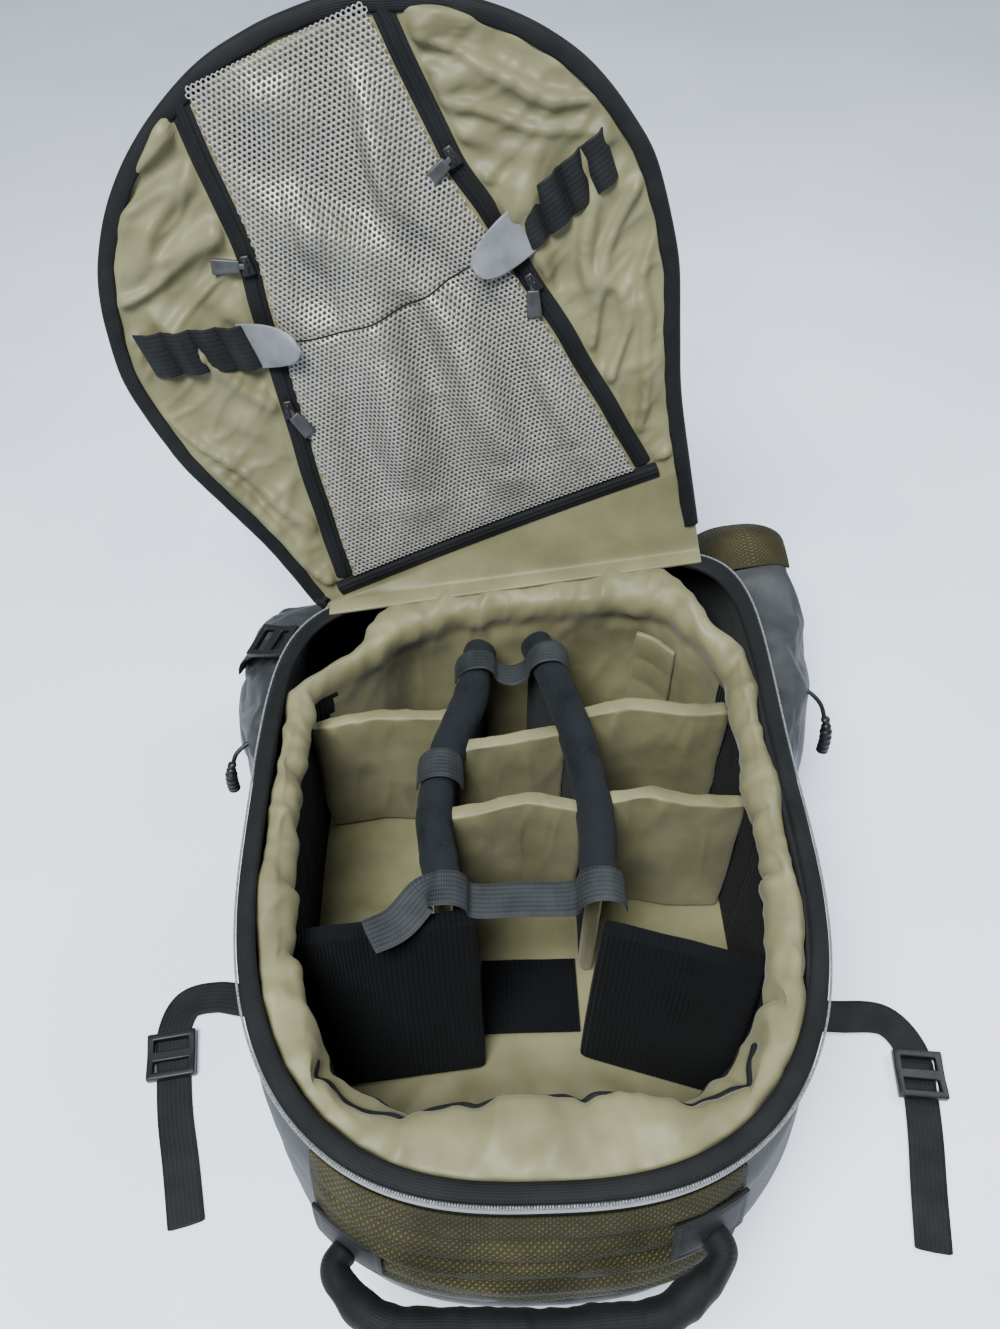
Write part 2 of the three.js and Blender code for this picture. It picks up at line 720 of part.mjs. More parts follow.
const liningFace = lidThick / 2 + clear;
const pocketBase = 4;
const pocketTop = 0.907 * lidHeight;
const zipShares = [
  { up: 0, half: 0.829 }, { up: 0.33, half: 0.685 }, { up: 0.57, half: 0.562 }, { up: 0.72, half: 0.486 },
  { up: 1, half: 0.438 },
];
const zipAt = (a) => {
  const up = a / lidHeight;
  const above = Math.max(1, zipShares.findIndex((row) => row.up >= up));
  const [low, high] = [zipShares[above - 1], zipShares[above]];
  return lerp(low.half, high.half, (up - low.up) / (high.up - low.up)) * lidBaseHalfWidth;
};

function makeLidPocket() {
  const inner = pocketBase + zipWidth + clear;
  const rows = steps(10).map((s) => ({ a: lerp(inner, pocketTop, s), columns: 8 }));
  const edge = (a) => zipAt(a) - zipWidth / 2 - clear;
  const puff = (a, u) => meshPuff * Math.sin(Math.PI * u) ** 0.7 *
    Math.sin(Math.PI * Math.min(1, Math.max(0, (a - inner) / (pocketTop - inner)))) ** 0.7;
  const net = lidStrip(rows, (a) => -edge(a), edge, liningFace, liningFace + meshThick, puff);
  addPlain('lid_mesh_pocket', net, 'mesh');
  const zipRows = steps(10).map((s) => ({ a: lerp(inner, pocketTop, s) }));
  for (const [side, sign] of [['left', -1], ['right', 1]]) {
    const near = (a) => sign * zipAt(a) - zipWidth / 2;
    const far = (a) => sign * zipAt(a) + zipWidth / 2;
    addPlain('lid_zip_' + side, lidStrip(zipRows, near, far, liningFace, liningFace + zipThick), 'tape');
  }
  const baseRows = [{ a: pocketBase, columns: 16 }, { a: pocketBase + zipWidth, columns: 16 }];
  const baseEdge = zipAt(pocketBase) + zipWidth / 2;
  const zip = lidStrip(baseRows, () => -baseEdge, () => baseEdge, liningFace, liningFace + zipThick);
  addPlain('lid_zip_base', zip, 'tape');
}

// Binding round the edge of the arch, from one end of the hinge to the other.
function makeLidBinding() {
  const arch = lidArch.map((row) => new THREE.Vector2(row.half * lidBaseHalfWidth, row.up * lidHeight));
  const outline = [...arch.map((p) => new THREE.Vector2(-p.x, p.y)), ...arch.reverse()];
  const inset = outline.map((p, i) => {
    const along = outline[Math.min(i + 1, outline.length - 1)].clone().sub(outline[Math.max(i - 1, 0)]);
    return p.clone().add(new THREE.Vector2(along.y, -along.x).setLength(lidBindingWidth));
  });
  inset[0].set(lidBindingWidth - lidBaseHalfWidth, 0);
  inset.at(-1).set(lidBaseHalfWidth - lidBindingWidth, 0);
  const below = (low, sign, width, offset) => {
    const base = lidPoint(0, sign * (lidBaseHalfWidth - width), offset);
    const foot = hingePoint(sign * (1 - width / lidHingeHalfWidth)).addScaledVector(lidFront, offset);
    return base.lerp(foot, low);
  };
  const foot = (sign, offset) => [0.66, 0.33].map((low) =>
    [below(low, sign, 0, offset), below(low, sign, lidBindingWidth, offset)]);
  const grid = (offset) => [
    ...foot(-1, offset),
    ...outline.map((p, i) => [lidPoint(p.y, p.x, offset), lidPoint(inset[i].y, inset[i].x, offset)]),
    ...foot(1, offset).reverse(),
  ];
  addPlain('lid_binding', slab(grid(liningFace), grid(liningFace + lidBindingThick)), 'tape');
}

const elasticAt = { inner: 0.555 * lidHeight, outer: 0.617 * lidHeight };

function makeElastics() {
  const rise = (b, inner, outer) => lerp(elasticAt.inner, elasticAt.outer, (b - inner) / (outer - inner));
  for (const [side, sign] of [['left', -1], ['right', 1]]) {
    const inner = zipAt(elasticAt.inner - elasticWidth / 2) + zipWidth / 2 + 1;
    const half = elasticWidth / 2;
    const outer = lidHalfAt(elasticAt.outer + half) - lidBindingWidth - 1.5;
    const loopCount = 4;
    const columns = steps(loopCount * 4).map((u) => ({ b: lerp(inner, outer, u), u }));
    const bump = (u) => 3 * Math.abs(Math.sin(u * loopCount * Math.PI));
    const grid = (height) => [-half, half].map((shift) => columns.map(({ b, u }) =>
      lidPoint(rise(b, inner, outer) + shift, sign * b, liningFace + height + bump(u))));
    addPlain('lid_elastic_' + side, slab(grid(0), grid(webThick)), 'tape');
    const over = liningFace + zipThick + clear * 2;
    const tab = (height) => steps(4).map((v) => steps(4).map((u) => {
      const b = inner - 3 - u * tabLength;
      const width = elasticWidth * 1.05 * (1 - 0.35 * u ** 2);
      const lift = over + (meshPuff + 1) * Math.sin(u * Math.PI * 0.5);
      return lidPoint(rise(b, inner, outer) + (v - 0.5) * width, sign * b, lift + height);
    }));
    addPlain('lid_tab_' + side, slab(tab(0), tab(tabThick)), 'rubber');
  }
}

// Pulls hang from the two side zips, two on each.
const lidPulls = [
  { name: 'lid_pull_left_upper', up: 0.685, side: -1 }, { name: 'lid_pull_left_lower', up: 0.422, side: -1 },
  { name: 'lid_pull_right_upper', up: 0.71, side: 1 }, { name: 'lid_pull_right_lower', up: 0.465, side: 1 },
];

function makeLidPulls() {
  for (const { name, up, side } of lidPulls) {
    const a = up * lidHeight;
    const over = liningFace + zipThick + clear;
    const grid = (height) => steps(3).map((v) => steps(2).map((u) =>
      lidPoint(a - pullLength * v, side * zipAt(a) + (u - 0.5) * pullWidth, over + height)));
    addPlain(name, slab(grid(0), grid(pullThick)), 'rubber');
  }
}

// Soft pockets on both sides: sections along the pack. y is a share of the mouth's length towards the
// hinge, out of the pocket's reach, and low and high of the rim's height.
const pocketSections = {
  left: [
    { y: 0.326, out: 0.2, low: 0.158, high: 0.558 }, { y: 0.409, out: 0.5, low: 0.112, high: 0.679 },
    { y: 0.605, out: 0.72, low: 0.093, high: 0.735 }, { y: 0.884, out: 0.82, low: 0.088, high: 0.781 },
    { y: 1.116, out: 0.8, low: 0.093, high: 0.8 }, { y: 1.265, out: 0.62, low: 0.121, high: 0.744 },
    { y: 1.33, out: 0.3, low: 0.186, high: 0.605 },
  ],
  right: [
    { y: 0.288, out: 0.25, low: 0.158, high: 0.577 }, { y: 0.372, out: 0.66, low: 0.112, high: 0.707 },
    { y: 0.581, out: 0.9, low: 0.093, high: 0.772 }, { y: 0.884, out: 1.02, low: 0.088, high: 0.828 },
    { y: 1.163, out: 1.06, low: 0.093, high: 0.856 }, { y: 1.321, out: 0.9, low: 0.121, high: 0.8 },
    { y: 1.395, out: 0.45, low: 0.186, high: 0.651 },
  ],
};
const pocketTurns = 12;

function pocketLoop(sign, row, grow) {
  const middle = (rimHeight * (row.low + row.high)) / 2;
  const half = (rimHeight * (row.high - row.low)) / 2 + grow;
  const inner = mouthHalfWidth * 0.82;
  const outer = mouthHalfWidth + row.out * pocketReach + grow;
  return Array.from({ length: pocketTurns }, (_, i) => {
    const turn = ((i + 0.5) / pocketTurns) * 2 * Math.PI;
    const [c, s] = [Math.cos(turn), Math.sin(turn)];
    const soft = (t) => Math.sign(t) * Math.abs(t) ** 0.62;
    const x = sign * lerp(inner, outer, (soft(c) + 1) / 2);
    return v3(x, row.y * mouthFar, middle + half * soft(s));
  });
}

// The shell's outside, with the room that a layer on it needs, to which other pieces are cut.
const shellRoom = (layer = panelThick) =>
  loft(shellSections.map((row) => loopAt(row.rise, clear * 3 + layer)));

// A ribbon along a path whose faces stay level across it.
function flatRibbon(rows, width, thick, samples) {
  const path = new THREE.CatmullRomCurve3(rows.map((row) => v3(...row)));
  const stations = steps(samples).map((s) => {
    const p = path.getPointAt(s);
    const along = path.getTangentAt(s);
    const across = v3(-along.y, along.x, 0).normalize().multiplyScalar(width / 2);
    return { left: p.clone().add(across), right: p.clone().sub(across) };
  });
  return ribbon(stations, thick);
}

// A place at one side: out from the mouth's edge as a share of the pocket's reach, then shares of the
// mouth's length towards the hinge and of the rim's height.
const besideMouth = (sign, out, y, z) =>
  [sign * (mouthHalfWidth + out * pocketReach), y * mouthFar, z * rimHeight];

// The lash strap on the left leaves the shell under the rim and presses into the pocket on its way down.
const lashPath = [
  [-0.35, 0.902, 0.87], [0.083, 0.949, 0.863], [0.483, 0.986, 0.819],
  [0.717, 1.014, 0.744], [0.817, 1.028, 0.642],
].map((place) => besideMouth(-1, ...place));
const lashStrap = (extra) => flatRibbon(lashPath, lashWidth + 2 * extra, webThick + 2 * extra, 10);

// A knotted cord with a moulded end hangs from the zip of each pocket.
const pocketPulls = {
  left: { at: besideMouth(-1, 0.5, 0.591, 0.679), turn: -1 },
  right: { at: besideMouth(1, 0.8, 0.628, 0.707), turn: 1 },
};
const cordReach = 16;
const cordThick = 4;
const pullEndThick = 9;

// Steps from a pull's place, as shares of the cord's reach: outwards, towards the handle and down.
const pullPath = ({ at, turn }, rows) => rows.map(([out, along, down]) =>
  v3(at[0] + out * cordReach * turn, at[1] - along * cordReach, at[2] - down * cordReach));

function pullCord(pull, extra) {
  const path = pullPath(pull, [[0, 0, 0], [0.69, 0.5, 0.31], [1, 1.12, 1.06]]);
  return bar(path, cordThick + 2 * extra, cordThick + 2 * extra, 6, 4);
}

function pullEnd(pull, extra) {
  const path = pullPath(pull, [[1, 1.06, 0.87], [1.06, 1.31, 1.62], [1.06, 1.38, 2.38]]);
  return bar(path, pullEndThick + 2 * extra, pullEndThick + 2 * extra, 6, 3);
}

function makePockets() {
  for (const [side, sign] of [['left', -1], ['right', 1]]) {
    const pull = pocketPulls[side];
    const cutters = [shellRoom(), pullCord(pull, clear), pullEnd(pull, clear)];
    if (side === 'left') cutters.push(lashStrap(clear));
    const body = loft(pocketSections[side].map((row) => pocketLoop(sign, row, 0)));
    addBody('side_pocket_' + side, trimmed(body, null, ...cutters), 'shell');
    addBody('pocket_pull_' + side, joined(pullCord(pull, 0), pullEnd(pull, 0)), 'plastic');
  }
}

// The facing on the far end of the right pocket, between two sections and round a few corners.
function makePocketFacing() {
  const rows = pocketSections.right.slice(3, 6);
  const grid = (grow) => rows.map((row) => pocketLoop(1, row, grow).slice(1, 5));
  const facing = slab(grid(clear * 1.5), grid(clear * 1.5 + panelThick));
  addBody('pocket_facing_right', trimmed(facing, null, shellRoom()), 'khakiWeave');
}

const buckleBar = 5;

// A ladder lock: a frame with three bars across, the strap's two ways through between them.
function ladderLock(width) {
  const [reach, half] = [width / 2 + buckleBar, buckleLength / 2];
  const box = (x, y, sizeX, sizeY) => new THREE.BoxGeometry(sizeX, sizeY, buckleThick).translate(x, y, 0);
  return joined(
    box(-reach + buckleBar / 2, 0, buckleBar, buckleLength),
    box(reach - buckleBar / 2, 0, buckleBar, buckleLength),
    box(0, half - buckleBar / 2, 2 * reach, buckleBar),
    box(0, 0, 2 * reach, buckleBar + 2),
    box(0, -half + buckleBar / 2, 2 * reach, buckleBar),
  );
}

function makeLashStrap() {
  addBody('side_strap_left', trimmed(lashStrap(0), null, shellRoom(0)), 'tape');
  const buckle = ladderLock(lashWidth).rotateZ(radians(66)).rotateY(radians(-16));
  buckle.translate(...besideMouth(-1, 0.283, 0.967, 0.872));
  addBody('side_buckle_left', buckle, 'plastic');
}

// The quilted strip that stands on the liner's far wall.
function makeFarStrip() {
  const half = aroundCount / 2;
  const indices = [-8, -7, -6].map((i) => half + i);
  const rises = [0.3, 0.65, 0.98].map((share) => standing + share * dividerHeight);
  const grid = (inset) => rises.map((z) => indices.map((i) =>
    linerPoint(turnOf(i), resized(linerInner, -inset), z)));
  addBody('far_wall_strip', slab(grid(dividerGap), grid(dividerGap + 3)), 'khaki');
}

// The padded carrying handle, from an anchor on one side of the woven panel to the other.
const handleRise = { left: 0.56, right: 0.72 };
const gripRows = [
  { x: -0.515, back: 0.36, z: 0.54 }, { x: -0.292, back: 0, z: 0.521 },
  { x: 0.175, back: -0.04, z: 0.53 }, { x: 0.374, back: 0.16, z: 0.567 },
];
const anchorThick = 2.4;
const anchorFoot = clear * 3 + panelThick;

function makeHandle() {
  const places = { left: -nearSpan, right: nearSpan - 1 };
  const face = anchorFoot + anchorThick;
  const at = (side, offset) => shellPoint(turnOf(places[side]), handleRise[side], offset);
  const gripY = shellPoint(0, 0.5, handleStandOff).y;
  const path = [
    at('left', 0), at('left', face + handleWidth / 2), ...gripRows.map(({ x, back, z }) =>
      v3(x * mouthHalfWidth, gripY + back * handleStandOff, z * rimHeight)),
    at('right', face + handleWidth / 2), at('right', 0),
  ];
  const grip = bar(path, handleWidth, handleHeight, 10, 22);
  addPlain('haul_handle', trimmed(grip, null, shellRoom(face - clear * 2)), 'tape');
  for (const [side, place] of Object.entries(places)) {
    const span = [place - 1, place + 1];
    const rises = [handleRise[side] - 0.06, handleRise[side] + 0.12];
    addBody('handle_anchor_' + side, coverPanel(...span, ...rises, anchorThick, anchorFoot), 'tape');
  }
}

// Lower webbing: out from under the pack, round a bend on the table, under its ladder lock, to a free tail.
// Rows are shares of the mouth's half-width and of its length towards the handle, and heights as
// shares of the harness's thickness.
const webRoutes = {
  left: {
    path: [
      [-0.702, -0.137, 0.91], [-0.877, -0.135, 0.91], [-1.018, -0.128, 0.885], [-1.228, -0.11, 0.346],
      [-1.368, -0.087, 0.154], [-1.497, -0.11, 0.103], [-1.538, -0.201, 0.077], [-1.509, -0.342, 0.071],
      [-1.474, -0.479, 0.071], [-1.415, -0.639, 0.077], [-1.357, -0.813, 0.071],
    ],
    lock: { x: -1.523, y: -0.292, turn: 8 },
  },
  right: {
    path: [
      [0.702, -0.201, 0.91], [0.877, -0.205, 0.91], [1.006, -0.21, 0.885], [1.216, -0.215, 0.346],
      [1.38, -0.219, 0.154], [1.591, -0.237, 0.103], [1.673, -0.338, 0.077], [1.661, -0.479, 0.071],
      [1.632, -0.616, 0.071], [1.585, -0.776, 0.077], [1.538, -0.95, 0.071],
    ],
    lock: { x: 1.67, y: -0.429, turn: -6 },
  },
};
const lockRise = 5.3;

function makeWebbings() {
  for (const [side, { path, lock }] of Object.entries(webRoutes)) {
    const rows = path.map(([x, y, z]) => [x * mouthHalfWidth, y * mouthNear, z * harnessThick]);
    addPlain('harness_web_' + side, flatRibbon(rows, webWidth, webThick, 26), 'tape');
    const frame = ladderLock(webWidth).rotateZ(radians(lock.turn));
    frame.translate(lock.x * mouthHalfWidth, lock.y * mouthNear, lockRise);
    addPlain('ladderlock_' + side, frame, 'plastic');
  }
}

// The shoulder straps are pressed flat under the pack, one on each side of the back pad.
// Rows are shares of the mouth's half-width and of its length towards the handle.
const strapPath = [[0.725, -0.731], [0.784, -0.502], [0.807, -0.228], [0.795, 0.046], [0.76, 0.274]];

function makeShoulderStraps() {
  const route = strapPath.map(([x, y]) => v3(x * mouthHalfWidth, y * mouthNear, 0));
  const curve = new THREE.CatmullRomCurve3(route);
  for (const [side, sign] of [['left', -1], ['right', 1]]) {
    const grid = (z) => steps(12).map((s) => {
      const p = curve.getPointAt(s);
      const half = (shoulderStrapWidth / 2) * (1 - (2 * s - 1) ** 6 * 0.45);
      return [v3(sign * (p.x - half), p.y, z), v3(sign * (p.x + half), p.y, z)];
    });
    addPlain('shoulder_strap_' + side, slab(grid(0), grid(shoulderStrapThick)), 'loopPile');
  }
}

function makeBackPad() {
  const corner = 0.42 * backPadHalfWidth;
  const [halfWidth, halfLength] = [backPadHalfWidth, backPadLength / 2];
  const outline = new THREE.Shape();
  outline.moveTo(-halfWidth + corner, -halfLength);
  outline.lineTo(halfWidth - corner, -halfLength);
  outline.quadraticCurveTo(halfWidth, -halfLength, halfWidth, -halfLength + corner);
  outline.lineTo(halfWidth, halfLength - corner);
  outline.quadraticCurveTo(halfWidth, halfLength, halfWidth - corner, halfLength);
  outline.lineTo(-halfWidth + corner, halfLength);
  outline.quadraticCurveTo(-halfWidth, halfLength, -halfWidth, halfLength - corner);
  outline.lineTo(-halfWidth, -halfLength + corner);
  outline.quadraticCurveTo(-halfWidth, -halfLength, -halfWidth + corner, -halfLength);
  const pressed = { depth: harnessThick, bevelEnabled: false, curveSegments: 4 };
  addPlain('back_pad', new THREE.ExtrudeGeometry(outline, pressed), 'loopPile');
}

makeShell();
makeCovers();
makePiping();
makeRimTape();
makeLiner();
makeLongDividers();
makeCrossDividers();
makeLoopDividers();
makeFloorPatch();
makeFarStrip();
makeDividerStraps();
makeLidPanel();
makeLidPocket();
makeLidBinding();
makeElastics();
makeLidPulls();
makePockets();
makePocketFacing();
makeLashStrap();
makeHandle();
makeWebbings();
makeShoulderStraps();
makeBackPad();

export default bag;
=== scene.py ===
import math

import bmesh
import bpy
import numpy as np
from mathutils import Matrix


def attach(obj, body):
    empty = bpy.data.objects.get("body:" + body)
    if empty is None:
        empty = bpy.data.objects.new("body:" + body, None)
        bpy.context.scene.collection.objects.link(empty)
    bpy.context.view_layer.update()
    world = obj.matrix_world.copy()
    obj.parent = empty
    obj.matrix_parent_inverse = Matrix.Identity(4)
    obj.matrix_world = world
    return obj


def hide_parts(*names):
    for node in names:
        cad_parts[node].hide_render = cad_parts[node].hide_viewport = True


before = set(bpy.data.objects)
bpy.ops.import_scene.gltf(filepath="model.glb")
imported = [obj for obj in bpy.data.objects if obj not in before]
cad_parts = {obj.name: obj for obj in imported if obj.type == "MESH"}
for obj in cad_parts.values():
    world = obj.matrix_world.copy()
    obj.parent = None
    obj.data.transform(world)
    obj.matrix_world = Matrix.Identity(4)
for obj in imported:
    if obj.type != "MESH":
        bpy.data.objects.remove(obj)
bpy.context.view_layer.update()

# The view: a hand-held photograph from in front of and above the open pack, looking down into it.
bpy.ops.object.select_all(action="DESELECT")
bpy.ops.object.camera_add(
    location=(-0.0275, -0.358, 0.778),
    rotation=(math.radians(90 - 49.2), 0, math.radians(-1.68)),
)
camera = bpy.context.object
camera.data.lens = 28.44
camera.data.sensor_width = 36
camera.data.clip_start = 0.02
bpy.context.scene.camera = camera


# The floor: one wide pale board, painted a cool white, under soft light from large lamps overhead.
def linear(colour):
    channels = [int(colour[i : i + 2], 16) / 255 for i in (1, 3, 5)]
    return tuple(c / 12.92 if c < 0.04045 else ((c + 0.055) / 1.055) ** 2.4 for c in channels) + (1,)


def add(tree, kind, inputs=None, **properties):
    node = tree.nodes.new("ShaderNode" + kind)
    for key, value in properties.items():
        setattr(node, key, value)
    for key, value in (inputs or {}).items():
        if isinstance(value, bpy.types.NodeSocket):
            tree.links.new(value, node.inputs[key])
        else:
            node.inputs[key].default_value = value
    return node


def new_material(name):
    material = bpy.data.materials.new(name)
    material.use_nodes = True
    tree = material.node_tree
    return material, tree, tree.nodes["Principled BSDF"]


def ramp(tree, factor, stops):
    node = add(tree, "ValToRGB", {"Fac": factor})
    elements = node.color_ramp.elements
    while len(elements) < len(stops):
        elements.new(0.5)
    for element, (place, colour) in zip(elements, stops):
        element.position = place
        element.color = linear(colour)
    return node.outputs["Color"]


bpy.ops.object.select_all(action="DESELECT")
bpy.ops.mesh.primitive_plane_add(size=9, location=(0, 0, -0.0004))
floor = bpy.context.object
floor.name = "floor"
painted, tree, surface_shader = new_material("painted_floor")
place = add(tree, "TexCoord").outputs["Object"]
cloudy = add(tree, "TexNoise", {"Vector": place, "Scale": 3.0, "Detail": 3.0}).outputs["Fac"]
tree.links.new(
    ramp(tree, cloudy, [(0.35, "#D6E1EF"), (0.65, "#E2EBF7")]), surface_shader.inputs["Base Color"]
)
surface_shader.inputs["Roughness"].default_value = 0.55
floor.data.materials.append(painted)

for spot, size, power, turn in [
    ((-0.45, -0.75, 2.0), 0.9, 118, (math.radians(20), math.radians(-13), 0)),
    ((1.3, 0.5, 1.7), 0.9, 26, (math.radians(-18), math.radians(40), 0)),
]:
    bpy.ops.object.light_add(type="AREA", location=spot, rotation=turn)
    lamp = bpy.context.object
    lamp.data.shape = "DISK"
    lamp.data.size = size
    lamp.data.energy = power
world = bpy.data.worlds.new("soft_room")
bpy.context.scene.world = world
world.use_nodes = True
world.node_tree.nodes["Background"].inputs["Color"].default_value = linear("#DDE7F6")
world.node_tree.nodes["Background"].inputs["Strength"].default_value = 0.62


# The body shell: a tub of dark coated nylon over foam, lying on its harness side. Its walls are sewn
# from curved panels, rounder at the handle end, and it has settled a little to one side at the hinge end.
mouth_half, mouth_near, mouth_far, rim_height = 171.0, 219.0, 215.0, 215.0
wall, clear, harness_thick = 6.0, 0.4, 15.6
back_face = harness_thick + clear
body_height = rim_height - back_face
floor_top = back_face + wall + clear + 10
standing = floor_top + clear
shell_rows = np.array(
    [  # rise, then side, near and far as shares of the mouth's sizes
        (0, 0.95, 0.99, 1.17),
        (0.045, 1, 1.035, 1.22),
        (0.2, 1.025, 1.08, 1.26),
        (0.5, 1.035, 1.1, 1.27),
        (0.8, 1.025, 1.055, 1.22),
        (0.93, 1.01, 1.02, 1.12),
        (1, 1, 1, 1),
    ]
)


def smooth(x, low, high):
    """Runs softly from 0 at low to 1 at high."""
    t = np.clip((np.asarray(x, float) - low) / (high - low), 0, 1)
    return t * t * (3 - 2 * t)


def through(x, xs, ys):
    """A smooth curve through the rows of a table, without overshoot."""
    xs, ys = np.asarray(xs, float), np.asarray(ys, float)
    step, rise = np.diff(xs), np.diff(ys) / np.diff(xs)
    slope = np.zeros(len(xs))
    slope[1:-1] = np.where(
        rise[:-1] * rise[1:] > 0, 2 * rise[:-1] * rise[1:] / (rise[:-1] + rise[1:] + 1e-12), 0
    )
    slope[0], slope[-1] = rise[0], rise[-1]
    x = np.clip(np.asarray(x, float), xs[0], xs[-1])
    i = np.clip(np.searchsorted(xs, x, side="right") - 1, 0, len(xs) - 2)
    t = (x - xs[i]) / step[i]
    return (
        ys[i] * (1 + 2 * t) * (1 - t) ** 2
        + slope[i] * step[i] * t * (1 - t) ** 2
        + ys[i + 1] * t * t * (3 - 2 * t)
        + slope[i + 1] * step[i] * t * t * (t - 1)
    )


def plan(turn, half, near, far):
    s, c = np.sin(turn), np.cos(turn)
    power = 2 / np.where(c > 0, 2.7, 6.0)
    x = half * np.sign(s) * np.abs(s) ** power
    y = -np.where(c > 0, near, far) * np.sign(c) * np.abs(c) ** power
    return x, y


def slump(P):
    P = np.array(P, float)
    share = smooth(P[..., 1], 40, mouth_far) * smooth(P[..., 2], back_face, rim_height)
    share = share * P[..., 0] / mouth_half
    P[..., 1] += 12 * share
    P[..., 2] += 17 * share
    return P


_fine = np.linspace(0, 2 * np.pi, 160001)
_x, _y = plan(_fine, mouth_half, mouth_near, mouth_far)
_length = np.concatenate([[0], np.cumsum(np.hypot(np.diff(_x), np.diff(_y)))])
mouth_round = _length[-1]


def even_turn(share):
    """The turn that lies this share of the mouth's outline from the handle end, round by +X."""
    return np.interp(np.mod(share, 1.0), _length / mouth_round, _fine)


def shell_point(share, rise, offset=0.0):
    share, rise, offset = np.broadcast_arrays(*[np.asarray(v, float) for v in (share, rise, offset)])
    sizes = [through(rise, shell_rows[:, 0], shell_rows[:, k]) for k in (1, 2, 3)]
    x, y = plan(
        even_turn(share),
        sizes[0] * mouth_half + offset,
        sizes[1] * mouth_near + offset,
        sizes[2] * mouth_far + offset,
    )
    return np.stack([x, y, back_face + rise * body_height], -1)


_rng = np.random.default_rng(11)
_lattice = _rng.normal(size=(48, 48, 48, 3))
_lattice /= np.linalg.norm(_lattice, axis=-1, keepdims=True)


def noise(P, size, seed=0):
    """Smooth noise from about -1 to 1. size is one number or one for each axis, in millimetres."""
    q = np.asarray(P, float) / np.asarray(size, float) + seed * 7.31
    cell = np.floor(q).astype(int)
    f = q - cell
    w = f * f * f * (f * (f * 6 - 15) + 10)
    total = 0
    for dx in (0, 1):
        for dy in (0, 1):
            for dz in (0, 1):
                g = _lattice[
                    (cell[..., 0] + dx) % 48, (cell[..., 1] + dy) % 48, (cell[..., 2] + dz) % 48
                ]
                d = (f - (dx, dy, dz)) * g
                weight = (
                    np.abs(1 - dx - w[..., 0]) * np.abs(1 - dy - w[..., 1]) * np.abs(1 - dz - w[..., 2])
                )
                total = total + weight * d.sum(-1)
    return total * 1.7


def ridges(P, size, seed=0):
    """Creased noise: sharp crests between soft hollows, from 0 to 1."""
    return (1 - np.abs(noise(P, size, seed))) ** 3


def mesh_piece(name, P, faces):
    """An object in the scene from points in millimetres and faces."""
    mesh = bpy.data.meshes.new(name)
    mesh.from_pydata((np.asarray(P) / 1000).tolist(), [], faces)
    piece = bpy.data.objects.new(name, mesh)
    bpy.context.scene.collection.objects.link(piece)
    return piece


def grid_piece(name, P, u, v, wrap_u=False, wrap_v=False, caps=False, uv=True):
    """A mesh from a grid of points in millimetres, with its own UV map in metres."""
    nu, nv = P.shape[:2]
    I, J = np.meshgrid(
        np.arange(nu if wrap_u else nu - 1), np.arange(nv if wrap_v else nv - 1), indexing="ij"
    )
    I, J = I.ravel(), J.ravel()
    I2, J2 = (I + 1) % nu, (J + 1) % nv
    faces = np.stack([I * nv + J, I2 * nv + J, I2 * nv + J2, I * nv + J2], 1)
    faces = faces.tolist()
    if caps:
        faces += [list(range(nv)), [(nu - 1) * nv + j for j in range(nv)][::-1]]
    piece = mesh_piece(name, P.reshape(-1, 3), faces)
    mesh = piece.data
    if uv:
        layer = mesh.uv_layers.new(name="cloth")
        corners = np.stack([u[I], v[J], u[I + 1], v[J], u[I + 1], v[J + 1], u[I], v[J + 1]], 1)
        flat = np.zeros(len(mesh.loops) * 2)
        flat[: corners.size] = corners.ravel() / 1000
        layer.data.foreach_set("uv", flat)
    return piece


def outward(piece):
    """Closes a finished shell's doubles and turns its faces outwards."""
    work = bmesh.new()
    work.from_mesh(piece.data)
    bmesh.ops.remove_doubles(work, verts=work.verts, dist=1e-6)
    bmesh.ops.dissolve_degenerate(work, edges=work.edges, dist=1e-7)
    bmesh.ops.recalc_face_normals(work, faces=work.faces)
    work.to_mesh(piece.data)
    work.free()
    piece.data.shade_smooth()
    return piece


def choose(piece):
    bpy.ops.object.select_all(action="DESELECT")
    piece.select_set(True)
    bpy.context.view_layer.objects.active = piece


def apply_all(piece):
    choose(piece)
    for modifier in list(piece.modifiers):
        bpy.ops.object.modifier_apply(modifier=modifier.name)
    return piece


def rounded(piece, levels=1):
    modifier = piece.modifiers.new("round", "SUBSURF")
    modifier.levels = modifier.render_levels = levels
    return apply_all(piece)


def points_of(piece):
    flat = np.empty(len(piece.data.vertices) * 3)
    piece.data.vertices.foreach_get("co", flat)
    return flat.reshape(-1, 3) * 1000


def normals_of(piece):
    flat = np.empty(len(piece.data.vertices) * 3)
    piece.data.vertex_normals.foreach_get("vector", flat)
    return flat.reshape(-1, 3)


def move_points(piece, P):
    piece.data.vertices.foreach_set("co", (P / 1000).ravel())
    piece.data.update()
    return piece


def push_out(piece, height):
    """Moves each point along its normal by height(points), in millimetres."""
    P, N = points_of(piece), normals_of(piece)
    return move_points(piece, P + N * np.asarray(height(P))[:, None])


def finish_piece(piece, nodes, material):
    if material.name not in [m.name for m in piece.data.materials if m]:
        piece.data.materials.append(material)
    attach(piece, "root")
    if nodes:
        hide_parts(*([nodes] if isinstance(nodes, str) else nodes))
    return piece


